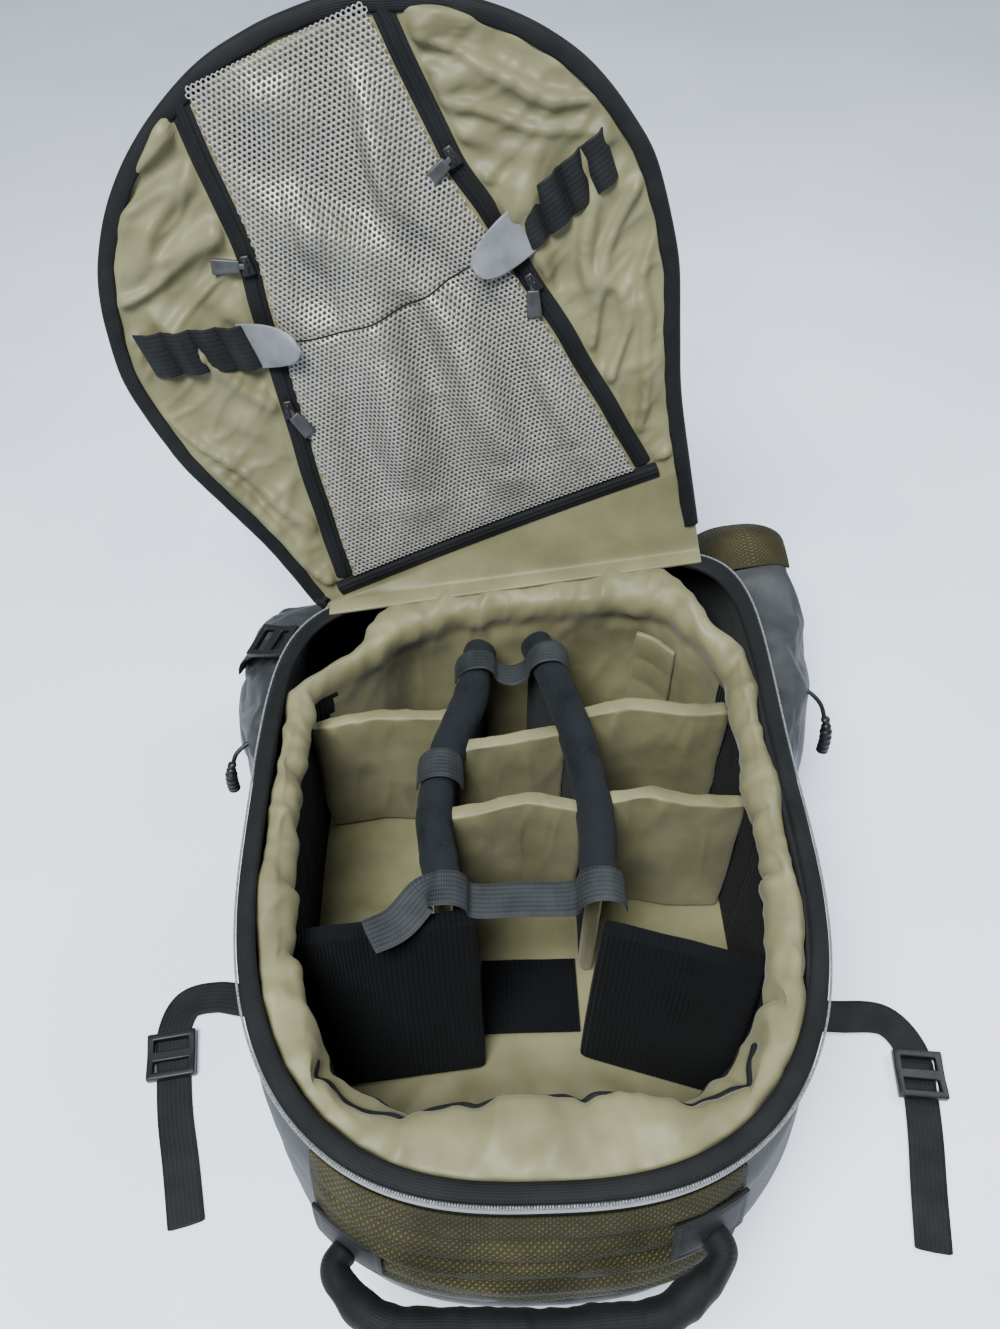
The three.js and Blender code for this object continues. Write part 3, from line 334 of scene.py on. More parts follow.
def weave_height(tree, vector, pitch, turned=0.0):
    """Threads that pass over and under each other, pitch metres apart."""
    turned_vector = add(tree, "Mapping", {"Vector": vector, "Rotation": (0, 0, turned)}).outputs[0]
    waves = [
        add(
            tree,
            "TexWave",
            {"Vector": turned_vector, "Scale": 0.314 / pitch, "Distortion": 0.0},
            bands_direction=axis,
        ).outputs["Fac"]
        for axis in ("X", "Y")
    ]
    return add(tree, "Math", {0: waves[0], 1: waves[1]}, operation="MULTIPLY").outputs[0]


def cloth_material(
    name, dark, light, pitch, rough, sheen, uv=True, bump=0.4, patch=0.03, turned=0.0, crinkle=0.0,
    shine=0.12,
):
    """Woven cloth: threads, a little unevenness in its colour and small crinkles."""
    material, tree, shader = new_material(name)
    coordinates = add(tree, "TexCoord")
    vector = coordinates.outputs["UV" if uv else "Object"]
    threads = weave_height(tree, vector, pitch, turned)
    uneven = add(
        tree, "TexNoise", {"Vector": coordinates.outputs["Object"], "Scale": 1 / patch, "Detail": 4.0}
    ).outputs["Fac"]
    share = add(tree, "Math", {0: threads, 1: 0.35}, operation="MULTIPLY").outputs[0]
    mix = add(tree, "Math", {0: share, 1: uneven}, operation="ADD").outputs[0]
    colour = ramp(tree, mix, [(0.3, dark), (0.85, light)])
    tree.links.new(colour, shader.inputs["Base Color"])
    fine = add(
        tree, "TexNoise", {"Vector": coordinates.outputs["Object"], "Scale": 260.0, "Detail": 2.0}
    ).outputs["Fac"]
    first = add(
        tree, "Bump", {"Height": threads, "Strength": bump, "Distance": pitch * 0.35}
    ).outputs["Normal"]
    second = add(
        tree, "Bump", {"Height": fine, "Strength": 0.25, "Distance": 0.0004, "Normal": first}
    ).outputs["Normal"]
    if crinkle:
        folds = add(
            tree,
            "TexNoise",
            {"Vector": coordinates.outputs["Object"], "Scale": 26.0, "Detail": 3.0, "Distortion": 0.5},
            noise_type="RIDGED_MULTIFRACTAL",
        ).outputs["Fac"]
        second = add(
            tree, "Bump", {"Height": folds, "Strength": 0.8, "Distance": crinkle, "Normal": second}
        ).outputs["Normal"]
    tree.links.new(second, shader.inputs["Normal"])
    shader.inputs["Roughness"].default_value = rough
    shader.inputs["Specular IOR Level"].default_value = shine
    shader.inputs["Sheen Weight"].default_value = sheen
    shader.inputs["Sheen Roughness"].default_value = 0.4
    return material


shell_nylon = cloth_material(
    "coated_nylon", "#0F1112", "#1C2022", 0.0011, 0.55, 0.03, crinkle=0.0012, shine=0.2
)
pocket_nylon = cloth_material(
    "pocket_nylon", "#1B1E20", "#2E3335", 0.0011, 0.5, 0.03, crinkle=0.0012, shine=0.25
)

around = 288
shares = np.arange(around) / around
uu = np.arange(around + 1) / around * mouth_round
rises = np.concatenate([[0, 0.012, 0.03], np.linspace(0.06, 0.94, 26), [0.965, 0.985, 1.0]])
inner_rises = np.concatenate([[1.0, 0.97], np.linspace(0.9, 0.08, 14), [wall / body_height]])
outer_part = np.stack([shell_point(shares, r) for r in rises], 1)
inner_part = np.stack([shell_point(shares, r, -wall) for r in inner_rises], 1)
grid = np.concatenate([outer_part, inner_part], 1)
rows = grid.shape[1]
heights = np.concatenate([rises * body_height, body_height + (1 - inner_rises) * body_height])
shell = grid_piece("shell_tub", slump(grid), uu, heights, wrap_u=True)
work = bmesh.new()
work.from_mesh(shell.data)
work.verts.ensure_lookup_table()
for column, flip in ((0, True), (rows - 1, False)):
    ring = [work.verts[i * rows + column] for i in range(around)]
    work.faces.new(ring[::-1] if flip else ring)
work.to_mesh(shell.data)
work.free()
outward(shell)
push_out(
    shell,
    lambda P: np.where(
        (P[:, 2] > back_face + 12) & (P[:, 2] < rim_height - 16),
        1.6 * noise(P, (70, 70, 38), 1) + 1.1 * (ridges(P, (55, 55, 24), 2) - 0.4),
        0,
    ),
)
finish_piece(shell, "body_shell", shell_nylon)

# The cover panels: a coarse khaki weave over both ends of the tub, lock-stitched to it along their
# edges. The one behind the handle is creased across where the tub bends.
coarse_weave, tree, shader = new_material("coarse_khaki_weave")
vector = add(tree, "TexCoord").outputs["UV"]
diamond = weave_height(tree, vector, 0.0026, math.radians(45))
cross = weave_height(tree, vector, 0.0009)
blotch = add(
    tree, "TexNoise", {"Vector": add(tree, "TexCoord").outputs["Object"], "Scale": 26.0, "Detail": 4.0}
).outputs["Fac"]
both = add(tree, "Math", {0: diamond, 1: 0.45}, operation="MULTIPLY").outputs[0]
both = add(tree, "Math", {0: both, 1: blotch}, operation="ADD").outputs[0]
tree.links.new(
    ramp(tree, both, [(0.3, "#1D1C11"), (0.7, "#302E1D"), (1.15, "#4B4830")]),
    shader.inputs["Base Color"],
)
low_bump = add(tree, "Bump", {"Height": cross, "Strength": 0.5, "Distance": 0.0003}).outputs["Normal"]
tree.links.new(
    add(
        tree, "Bump", {"Height": diamond, "Strength": 0.9, "Distance": 0.0009, "Normal": low_bump}
    ).outputs["Normal"],
    shader.inputs["Normal"],
)
shader.inputs["Roughness"].default_value = 0.65
shader.inputs["Specular IOR Level"].default_value = 0.1


def thick_sheet(name, P, u, v, thick):
    """A closed sheet: P is its front, a grid of points, and its back lies thick behind it."""
    piece = grid_piece(name, P, u, v)
    modifier = piece.modifiers.new("thick", "SOLIDIFY")
    modifier.thickness = thick / 1000
    modifier.offset = -1
    modifier.use_even_offset = True
    apply_all(piece)
    return outward(piece)


def cover(name, node, start, end, low, high, creases, seed):
    across = np.linspace(start, end, 150)
    up = np.linspace(low, high, 56)
    S, R = np.meshgrid(across, up, indexing="ij")
    front = shell_point(S, R, 0.8 + 2.0)
    edge = np.minimum.reduce([S - start, end - S]) * mouth_round
    edge = np.minimum(edge, np.minimum(R - low, high - R) * body_height)
    held = smooth(edge, 0, 14)
    bulge = 0
    for height, deep, wide in creases:
        line = height + 0.012 * noise(front, (90, 90, 400), seed) + 0.01 * noise(front, 40, seed + 3)
        bulge = bulge - deep * np.exp(-(((R - line) * body_height / wide) ** 2))
    bulge = bulge + 1.8 * noise(front, (60, 60, 30), seed + 1) + 0.7 * (
        ridges(front, (60, 60, 14), seed + 2) - 0.3
    )
    front = shell_point(S, R, 2.8 + held * (bulge + 1.6))
    piece = thick_sheet(
        name, slump(front), (across - start) * mouth_round, up * body_height, 1.9
    )
    finish_piece(piece, node, coarse_weave)
    return piece


near_span = 5 / 64
cover(
    "cover_handle_end", "near_panel", -near_span - 1 / 64, near_span, 0.4, 0.93,
    [(0.82, 3.2, 5), (0.72, 2.6, 4), (0.6, 3.4, 6), (0.5, 2.2, 4)], 5,
)
cover(
    "cover_hinge_end", "far_panel", 25 / 64, 39 / 64, 0.55, 0.93, [(0.7, 2.4, 7)], 15,
)


# The piping: cord under the rim and low round the handle end, wrapped in mid grey fabric and sewn into
# the seams of the tub.
def lengths_along(P):
    """How far each point of a line lies from its start."""
    return np.concatenate([[0], np.cumsum(np.linalg.norm(np.diff(P, axis=0), axis=1))])


def tube(name, centres, radius, sides=10, flat=1.0, up=(0, 0, 1), squash_ends=True):
    """A round or flattened tube along points in millimetres; radius is one number or one for each."""
    C = np.asarray(centres, float)
    T = np.gradient(C, axis=0)
    T /= np.linalg.norm(T, axis=1, keepdims=True) + 1e-9
    A = np.cross(T, np.broadcast_to(np.asarray(up, float), T.shape))
    A /= np.linalg.norm(A, axis=1, keepdims=True) + 1e-9
    B = np.cross(A, T)
    r = np.broadcast_to(np.asarray(radius, float), (len(C),)).copy()
    if squash_ends:
        r[0] *= 0.55
        r[-1] *= 0.55
    a = np.arange(sides) / sides * 2 * np.pi
    P = (
        C[:, None]
        + A[:, None] * (np.cos(a)[None, :, None] * r[:, None, None])
        + B[:, None] * (np.sin(a)[None, :, None] * r[:, None, None] * flat)
    )
    along = lengths_along(C)
    round_it = np.arange(sides + 1) / sides * 2 * np.pi * float(np.mean(r))
    piece = grid_piece(name, P, along, round_it, wrap_v=True, caps=True)
    return outward(piece)


piping_grey = cloth_material("light_piping", "#5A5F5F", "#85898A", 0.0008, 0.5, 0.05, bump=0.3)
for name, node, end, rise in [
    ("piping_rim", "rim_piping", 23 / 64, 0.965),
    ("piping_base", "base_piping", 16 / 64, 0.12),
]:
    run = np.linspace(-end, end, 420)
    line = shell_point(run, rise, 2.5)
    line[:, 2] += 0.6 * noise(line, 60, 8)
    finish_piece(tube(name, slump(line), 1.5, 10), node, piping_grey)


# The rim tape: a dark nylon tape, folded over the raw edge of the tub and stitched down. Half of the
# front panel's zip is sewn along its outer edge, so a line of fine coil runs round the open sides.
tape_cloth = cloth_material("dark_tape", "#0A0B0C", "#141718", 0.0013, 0.65, 0.02, bump=0.5, crinkle=0.0006)
tape_low = rim_height + clear
profile = np.array(
    [  # outwards from the mouth's edge, then up from the tape's underside
        (-6, 0), (-2, -0.2), (3, 0), (4.2, 0.9), (4.2, 2.0), (3.0, 3.0), (0.5, 3.6), (-2, 3.7),
        (-4.5, 3.4), (-6.2, 2.4), (-6.6, 1.1),
    ]
)


def sampled_loop(profile, count):
    closed = np.vstack([profile, profile[:1]])
    lengths = lengths_along(closed)
    wanted = np.arange(count) / count * lengths[-1]
    points = np.stack([np.interp(wanted, lengths, closed[:, k]) for k in range(closed.shape[1])], 1)
    return points, lengths[-1]


around = 420
shares = np.arange(around) / around
section, section_round = sampled_loop(profile, 26)
tape_grid = []
for out, up in section:
    line = shell_point(shares, 1, out)
    line[:, 2] = tape_low + up
    tape_grid.append(line)
tape_grid = np.stack(tape_grid, 1)
wave = 0.9 * noise(tape_grid, (36, 36, 400), 4) + 0.5 * noise(tape_grid, (14, 14, 400), 6)
tape_grid[..., 2] += wave * smooth(tape_grid[..., 2], tape_low, tape_low + 3.6)
rim_tape = grid_piece(
    "rim_binding", slump(tape_grid), np.arange(around + 1) / around * mouth_round,
    np.arange(27) / 26 * section_round, wrap_u=True, wrap_v=True,
)
finish_piece(outward(rim_tape), "rim_tape", tape_cloth)

# The coil's mid grey, far lighter than the dark tape, is painted highlight: it stands in for the glint along
# the coil, so that the coil shows as a light dotted line. The fine noise varies that painted glint and gives
# the coil a little grain.
coil_painted_highlight, tree, shader = new_material("zip_coil")
painted_glint_and_grain = add(
    tree, "TexNoise", {"Vector": add(tree, "TexCoord").outputs["Object"], "Scale": 900.0}
).outputs["Fac"]
tree.links.new(ramp(tree, painted_glint_and_grain, [(0.3, "#3C4042"), (0.7, "#7C8284")]), shader.inputs["Base Color"])
tree.links.new(
    add(tree, "Bump", {"Height": painted_glint_and_grain, "Strength": 0.2, "Distance": 0.0002}).outputs["Normal"],
    shader.inputs["Normal"],
)
shader.inputs["Roughness"].default_value = 0.34


def coil(name, centres, ups, pitch, width, height):
    """Zip teeth: small rounded bars across a line, one every pitch millimetres."""
    C, U = np.asarray(centres, float), np.asarray(ups, float)
    lengths = lengths_along(C)
    wanted = np.arange(0, lengths[-1], pitch)
    C = np.stack([np.interp(wanted, lengths, C[:, k]) for k in range(3)], 1)
    U = np.stack([np.interp(wanted, lengths, U[:, k]) for k in range(3)], 1)
    T = np.gradient(C, axis=0)
    T /= np.linalg.norm(T, axis=1, keepdims=True)
    A = np.cross(T, U)
    A /= np.linalg.norm(A, axis=1, keepdims=True)
    U = np.cross(A, T)
    tooth = []
    for side, lift in ((-0.5, 0.15), (-0.32, 1.0), (0.32, 1.0), (0.5, 0.15)):
        for half in (-0.32, 0.32):
            tooth.append((half * pitch, side * width, lift * height))
    tooth += [(-0.32 * pitch, 0, -0.2 * height), (0.32 * pitch, 0, -0.2 * height)]
    faces = [(0, 1, 3, 2), (2, 3, 5, 4), (4, 5, 7, 6), (6, 7, 9, 8), (8, 9, 1, 0), (0, 2, 4, 6, 8),
             (9, 7, 5, 3, 1)]
    points, all_faces = [], []
    for i in range(len(C)):
        base = len(points)
        for along, across, lift in tooth:
            points.append(C[i] + T[i] * along + A[i] * across + U[i] * lift)
        all_faces += [tuple(base + k for k in face) for face in faces]
    return outward(mesh_piece(name, points, all_faces))


run = np.linspace(-0.42, 0.42, 900)
line = shell_point(run, 1, 5.0)
line[:, 2] = tape_low + 0.6
away = shell_point(run, 1, 9) - shell_point(run, 1, 0)
rim_coil = coil("rim_zip_coil", slump(line), away + (0, 0, 2), 1.5, 3.0, 1.1)
finish_piece(rim_coil, None, coil_painted_highlight)

# The liner: a loose padded wall of khaki nylon over foam, open at the top, that lifts out of the tub.
# Its quilted top is soft, so it rolls and crumples inwards between its seams.
khaki_nylon = cloth_material(
    "khaki_nylon", "#474630", "#737154", 0.00045, 0.5, 0.1, bump=0.12, patch=0.06, crinkle=0.0013,
    shine=0.25,
)
liner_outer = (mouth_half - wall - 2, mouth_near - wall - 2, mouth_far - wall - 2)
liner_inner = (liner_outer[0] - 8, liner_outer[1] - 38, liner_outer[2] - 14)
liner_top = rim_height - 8
# Pleats round the top, as shares of the mouth's outline, with a depth in millimetres.
liner_pleats = [
    (0.018, 4), (0.062, 2.5), (0.088, 5), (0.13, 6), (0.205, 3), (0.245, 4), (0.335, 3), (0.655, 3),
    (0.72, 4.5), (0.795, 3), (0.838, 5), (0.9, 6), (0.945, 4), (0.972, 2.5),
]


# The liner draws in towards the hinge end, more on its left side, as shares of the mouth.
neck_left, neck_right, neck_start, neck_end = 0.27, 0.15, 0.56, 0.8


def liner_point(share, size, z, bulge=0.0):
    """A point on the liner's wall, for a share of its outline, a half-size and a height."""
    share = np.asarray(share, float)
    x, y = plan(even_turn(share), size[0] - bulge, size[1] - bulge, size[2] - bulge)
    drawn_in = smooth(y, neck_start * mouth_far, neck_end * mouth_far)
    neck = 1 - np.where(x < 0, neck_left, neck_right) * drawn_in
    return np.stack([x * neck, y, np.broadcast_to(np.asarray(z, float), x.shape)], -1)


def liner_bulge(share):
    """How far the soft top leans in over the cells, between its pleats."""
    lean_in, waves, corner_give, handle_give = 8.0, 5, 21.0, 4.0
    from_handle = np.abs(np.mod(share + 0.5, 1) - 0.5)
    total = lean_in + 2.0 * np.sin(share * 2 * np.pi * waves + 1)
    total = total - corner_give * np.exp(-(((from_handle - 0.078) / 0.036) ** 2))
    total = total - handle_give * np.exp(-((from_handle / 0.03) ** 2))
    for spot, deep in liner_pleats:
        away = np.abs(np.mod(share - spot + 0.5, 1) - 0.5)
        total = total - deep * np.exp(-((away / 0.0045) ** 2))
    return total


def resized(size, by, far=None):
    """A half-size grown all round, or differently at the hinge end."""
    return (size[0] + by, size[1] + by, size[2] + (by if far is None else far))


around = 420
shares = np.arange(around) / around
roll = 8 * 0.45
rings = [
    (liner_outer, standing, 0), (liner_outer, standing + 60, 0), (liner_outer, liner_top - 24, 0),
    (resized(liner_outer, 1.4), liner_top - roll, 0), (resized(liner_outer, 0.4), liner_top + 3.4, 0),
    (tuple(0.6 * a + 0.4 * b for a, b in zip(liner_outer, liner_inner)), liner_top + 4.4, 0.3),
    (resized(liner_inner, roll, roll / 2), liner_top + 0.6, 0.85), (liner_inner, liner_top - roll, 1),
    (liner_inner, liner_top - 14, 0.95), (liner_inner, standing + 148, 0.2),
    (liner_inner, standing + 70, 0), (liner_inner, standing, 0),
]
control = np.stack([liner_point(shares, size, z, b * liner_bulge(shares)) for size, z, b in rings], 1)
length = lengths_along(control[0])
wanted = np.linspace(0, length[-1], 62)
far_rise = 7.0 * smooth(liner_point(shares, liner_outer, 0)[:, 1], 120, 190)
control[..., 2] += far_rise[:, None] * smooth(control[..., 2], 120, liner_top)
liner_grid = np.stack([
    np.stack([through(wanted, length, control[i, :, k]) for k in range(3)], -1) for i in range(around)
])
liner = grid_piece(
    "liner_wall", slump(liner_grid), np.arange(around + 1) / around * mouth_round,
    np.concatenate([wanted, [wanted[-1] + 20]]), wrap_u=True, wrap_v=True,
)
outward(liner)
P = points_of(liner)


def crumple(P, long, short, deep, seed):
    """Soft folds that run mostly upright on a wall, deep millimetres from crest to hollow."""
    folds = noise(P, (short, short, long), seed)
    folds = folds + 0.6 * noise(P, (short * 0.5, short * 0.5, long * 0.6), seed + 2)
    creased = ridges(P, (short * 0.8, short * 0.8, long * 0.7), seed + 4)
    return deep * (0.5 * folds + 0.5 * (creased - 0.35))


push_out(
    liner,
    lambda P: smooth(P[:, 2], standing + 4, standing + 60)
    * (
        crumple(P, 90, 30, 3.0, 21)
        + smooth(P[:, 2], 150, 190)
        * (4.5 * (ridges(P, (44, 44, 60), 23) - 0.35) + 2.0 * (ridges(P, (19, 19, 26), 25) - 0.3))
    ),
)


# A dark tube runs along the liner's roll where it meets the bay at the handle end: painted shade, a dark line
# standing in for the shadow gap there.
run = np.linspace(-0.105, 0.105, 160)
line = liner_point(run, liner_inner, liner_top - 9, liner_bulge(run) + 1.0)
line[:, 2] += 2.5 * noise(line, 50, 29)
finish_piece(tube("painted_shadow_gap", slump(line), 2.1, 10), None, tape_cloth)


# The floor pad: a foam board in the same khaki nylon, loose in the bottom of the tub. It has been bent
# at the handle end, so creases fan out across it.
def creases(P, table):
    """Height of a set of soft creases, each from one plan point to another, with a height and width."""
    height = 0
    for x0, y0, x1, y1, high, wide in table:
        run = np.array([x1 - x0, y1 - y0])
        t = np.clip(((P[..., 0] - x0) * run[0] + (P[..., 1] - y0) * run[1]) / (run @ run), 0, 1)
        away = np.hypot(P[..., 0] - x0 - t * run[0], P[..., 1] - y0 - t * run[1])
        fade = smooth(t, -0.02, 0.25) * smooth(1 - t, -0.02, 0.25)
        height = height + high * np.exp(-((away / wide) ** 2)) * fade
    return height


pad_half, pad_near, pad_far = resized(liner_outer, 2 - 4 - 2)
across_pad = np.sin(np.linspace(-1, 1, 96) * np.pi / 2) * 0.4 + np.linspace(-1, 1, 96) * 0.6
along_pad = np.sin(np.linspace(-1, 1, 120) * np.pi / 2) * 0.999
X, Y = np.meshgrid(across_pad, along_pad, indexing="ij")
n = np.where(Y < 0, 2.7, 6.0)
half = pad_half * (1 - np.abs(Y) ** n) ** (1 / n)
y = Y * np.where(Y < 0, pad_near, pad_far)
neck = 1 - np.where(X < 0, 0.27, 0.15) * smooth(y, 0.56 * mouth_far, 0.8 * mouth_far)
front = np.stack([X * half * neck, y, np.full(X.shape, floor_top)], -1)
front[..., 2] += (
    creases(
        front,
        [
            (-70, -168, -30, -92, 3.4, 7), (-20, -175, 0, -88, 2.6, 6), (30, -175, 22, -96, 2.4, 7),
            (95, -160, 45, -95, 3.0, 8), (-105, -140, -60, -90, 2.4, 6), (-140, 40, -80, 25, 3.0, 8),
            (-120, -5, -75, 40, 2.6, 6), (-95, 60, -75, 10, 2.0, 5),
        ],
    )
    + 1.0 * noise(front, 45, 31)
    - 2.0
)
floor_pad = thick_sheet("floor_board", slump(front), across_pad * 160, along_pad * 210, 7.5)
rounded(floor_pad)
finish_piece(floor_pad, "floor_pad", khaki_nylon)


# The loop fabric: dark brushed nylon, knitted in ribs, that hook tape grips anywhere. The floor patch,
# the two wide dividers at the handle end, the faces of the long dividers and the liner's side walls
# are covered with it.
def ribbed_material(name, dark, light, pitch, ribs, rough=0.85):
    material, tree, shader = new_material(name)
    coordinates = add(tree, "TexCoord")
    wave = add(
        tree, "TexWave", {"Vector": coordinates.outputs["UV"], "Scale": 0.314 / pitch, "Distortion": 0.4,
                          "Detail": 1.0, "Detail Scale": 3.0},
        bands_direction="X",
    ).outputs["Fac"]
    fuzz = add(
        tree, "TexNoise", {"Vector": coordinates.outputs["Object"], "Scale": 1400.0, "Detail": 3.0}
    ).outputs["Fac"]
    worn = add(
        tree, "TexNoise", {"Vector": coordinates.outputs["Object"], "Scale": 30.0, "Detail": 4.0}
    ).outputs["Fac"]
    share = add(tree, "Math", {0: wave, 1: ribs}, operation="MULTIPLY").outputs[0]
    share = add(tree, "Math", {0: share, 1: worn}, operation="ADD").outputs[0]
    share = add(tree, "Math", {0: share, 1: fuzz}, operation="ADD").outputs[0]
    tree.links.new(
        ramp(tree, share, [(0.85, dark), (1.0 + 0.55 * ribs, light)]), shader.inputs["Base Color"]
    )
    low = add(tree, "Bump", {"Height": fuzz, "Strength": 0.7, "Distance": 0.0006}).outputs["Normal"]
    tree.links.new(
        add(
            tree, "Bump", {"Height": wave, "Strength": 0.9 * ribs, "Distance": 0.0009, "Normal": low}
        ).outputs["Normal"],
        shader.inputs["Normal"],
    )
    shader.inputs["Roughness"].default_value = rough
    shader.inputs["Specular IOR Level"].default_value = 0.05
    shader.inputs["Sheen Weight"].default_value = 0.02
    shader.inputs["Sheen Roughness"].default_value = 0.5
    return material


loop_fabric = ribbed_material("ribbed_loop", "#020303", "#0C0E10", 0.0034, 1.0)
napped_fabric = ribbed_material("napped_pile", "#08090B", "#1A1E21", 0.0016, 0.25, rough=0.95)


def spline(points, count):
    """A smooth curve through points, sampled evenly along its length."""
    p = np.asarray(points, float)
    p = np.vstack([2 * p[0] - p[1], p, 2 * p[-1] - p[-2]])
    out = []
    for i in range(1, len(p) - 2):
        dt = [max(np.linalg.norm(p[i + k] - p[i + k - 1]) ** 0.5, 1e-6) for k in (0, 1, 2)]
        t1 = (p[i] - p[i - 1]) / dt[0] - (p[i + 1] - p[i - 1]) / (dt[0] + dt[1]) + (p[i + 1] - p[i]) / dt[1]
        t2 = (p[i + 1] - p[i]) / dt[1] - (p[i + 2] - p[i]) / (dt[1] + dt[2]) + (p[i + 2] - p[i + 1]) / dt[2]
        t1, t2 = t1 * dt[1], t2 * dt[1]
        t = np.linspace(0, 1, 60, endpoint=False)[:, None]
        out.append(
            p[i] + t1 * t + (-3 * p[i] + 3 * p[i + 1] - 2 * t1 - t2) * t**2
            + (2 * p[i] - 2 * p[i + 1] + t1 + t2) * t**3
        )
    fine = np.vstack(out + [p[-2][None]])
    length = lengths_along(fine)
    wanted = np.linspace(0, length[-1], count)
    return np.stack([np.interp(wanted, length, fine[:, k]) for k in range(p.shape[1])], 1)


long_plan = {
    "left": [(0.97, -0.17), (0.72, -0.22), (0.45, -0.33), (0.16, -0.39), (-0.16, -0.34)],
    "right": [(0.97, 0.09), (0.72, 0.19), (0.45, 0.27), (0.16, 0.31), (-0.14, 0.3)],
}
long_curve = {
    side: spline([(x * liner_inner[0], y * liner_inner[2]) for y, x in rows], 400)
    for side, rows in long_plan.items()
}


def long_x(side, y):
    curve = long_curve[side]
    return curve[np.argmin(np.abs(curve[:, 1] - y)), 0]


def padded_board(name, centres, low, high, thick, puff=1.0, seam=0.7, tilt=0.0):
    """A stitched foam board standing on a line of plan points, with soft edges and sewn seams.
    low, high and tilt are one number or one for each point. tilt moves the foot out sideways."""
    C = np.asarray(centres, float)
    n = len(C)
    T = np.gradient(C, axis=0)
    T /= np.linalg.norm(T, axis=1, keepdims=True)
    side = np.stack([-T[:, 1], T[:, 0]], 1)
    low, high, tilt = [np.broadcast_to(np.asarray(v, float), (n,)) for v in (low, high, tilt)]
    half = thick / 2
    up = np.linspace(0, 1, 22)
    corner = np.linspace(0, np.pi, 9)
    section = (
        [(half, v, 0, 0) for v in up]
        + [(half * np.cos(a), 1.0, 2.2 * np.sin(a) ** 0.7, abs(np.cos(a)) ** 6) for a in corner[1:-1]]
        + [(-half, v, 0, 0) for v in up[::-1]]
    )
    P = np.zeros((n, len(section), 3))
    u = np.linspace(0, 1, n)
    ends = np.clip(1 - np.abs(2 * u - 1) ** 30, 0.25, 1) ** 0.5
    for k, (across, v, crown, bead) in enumerate(section):
        swell = puff * np.sin(np.pi * np.clip(v, 0, 1)) ** 0.6 * np.sin(np.pi * u) ** 0.4
        width = (abs(across) + swell * (abs(across) / half) + bead * seam) * ends * np.sign(across)
        shift = width + tilt * (v - 1)
        P[:, k, 0] = C[:, 0] + side[:, 0] * shift
        P[:, k, 1] = C[:, 1] + side[:, 1] * shift
        P[:, k, 2] = low + (high - low) * v - 2.4 + crown + bead * seam
        P[:, k, 2] = np.maximum(P[:, k, 2], low)
    along = lengths_along(C)
    girth = np.concatenate(
        [[0], np.cumsum(np.linalg.norm(np.diff(P[n // 2], axis=0), axis=1)), [0]]
    )
    girth[-1] = girth[-2] + thick
    return outward(grid_piece(name, slump(P), along, girth, wrap_v=True, caps=True))


liner.data.materials.append(khaki_nylon)
liner.data.materials.append(loop_fabric)
for face in liner.data.polygons:
    x, y, z = face.center * 1000
    inner = face.normal.x * x + face.normal.y * y < 0
    if inner and z < liner_top - 24 and y < 0.62 * mouth_far and abs(x) > 60:
        face.material_index = 1
rounded(liner)
finish_piece(liner, "liner", khaki_nylon)

patch_half = (0.433 * 171 / 2, 0.256 * 219 / 2)
patch_middle = (0.023 * 171, -0.174 * 219)
patch_x = np.linspace(-1, 1, 44)
patch_y = np.linspace(-1, 1, 36)
X, Y = np.meshgrid(patch_x, patch_y, indexing="ij")
front = np.stack([patch_middle[0] + X * (patch_half[0] - 2), patch_middle[1] + Y * patch_half[1],
                  np.full(X.shape, standing + 1.5)], -1)
front[..., 2] += 0.5 * noise(front, 22, 3) - 0.5 * (np.maximum(abs(X), abs(Y)) > 0.97)
loop_patch = thick_sheet("floor_loop", front, patch_x * 36, patch_y * 28, 1.2)
finish_piece(loop_patch, "floor_loop_patch", loop_fabric)


# The two long dividers: foam boards covered with loop fabric, with khaki nylon bound over their ends.
# They stand on the floor and curve from the hinge end to the middle of the pack.
long_top = standing + 122
for side in ("left", "right"):
    curve = long_curve[side][::4]
    board = padded_board("long_board_" + side, curve[:-2], standing, long_top + 2.0, 11.2, puff=0.4)
    board.data.materials.append(napped_fabric)
    board.data.materials.append(khaki_nylon)
    near_y = curve[-1, 1] + 15
    for face in board.data.polygons:
        if face.center.y * 1000 < near_y:
            face.material_index = 1
    rounded(board)
    finish_piece(board, "long_divider_" + side, napped_fabric)

# The bolsters: fat rolls of foam in napped black fabric, sewn along the top of the long dividers and
# pinched where the grey straps hold them down.
bolster_middle = standing + 122 + clear + 17
strap_y = {"near": -0.176 * liner_inner[2], "band": 0.321 * liner_inner[2], "far": 0.819 * liner_inner[2]}
for side in ("left", "right"):
    curve = long_curve[side][:-1]
    curve = curve[np.linspace(0, len(curve) - 1, 150).astype(int)]
    keep = curve[:, 1] < 186
    curve = curve[keep]
    centres = np.column_stack([curve, np.full(len(curve), bolster_middle)])
    radius = np.full(len(curve), 12.6)
    pinches = [strap_y["near"], strap_y["far"]] + ([strap_y["band"]] if side == "left" else [])
    for y in pinches:
        radius -= 1.0 * np.exp(-(((curve[:, 1] - y) / 13) ** 2))
    radius[:3] *= (0.6, 0.85, 0.95)
    radius[-4:] *= (0.99, 0.95, 0.85, 0.6)
    bolster = tube("bolster_roll_" + side, slump(centres), radius, 40, flat=1.27)
    push_out(bolster, lambda P: 1.1 * noise(P, (24, 24, 24), 41) + 0.5 * noise(P, 9, 42))
    rounded(bolster)
    finish_piece(bolster, "bolster_" + side, napped_fabric)


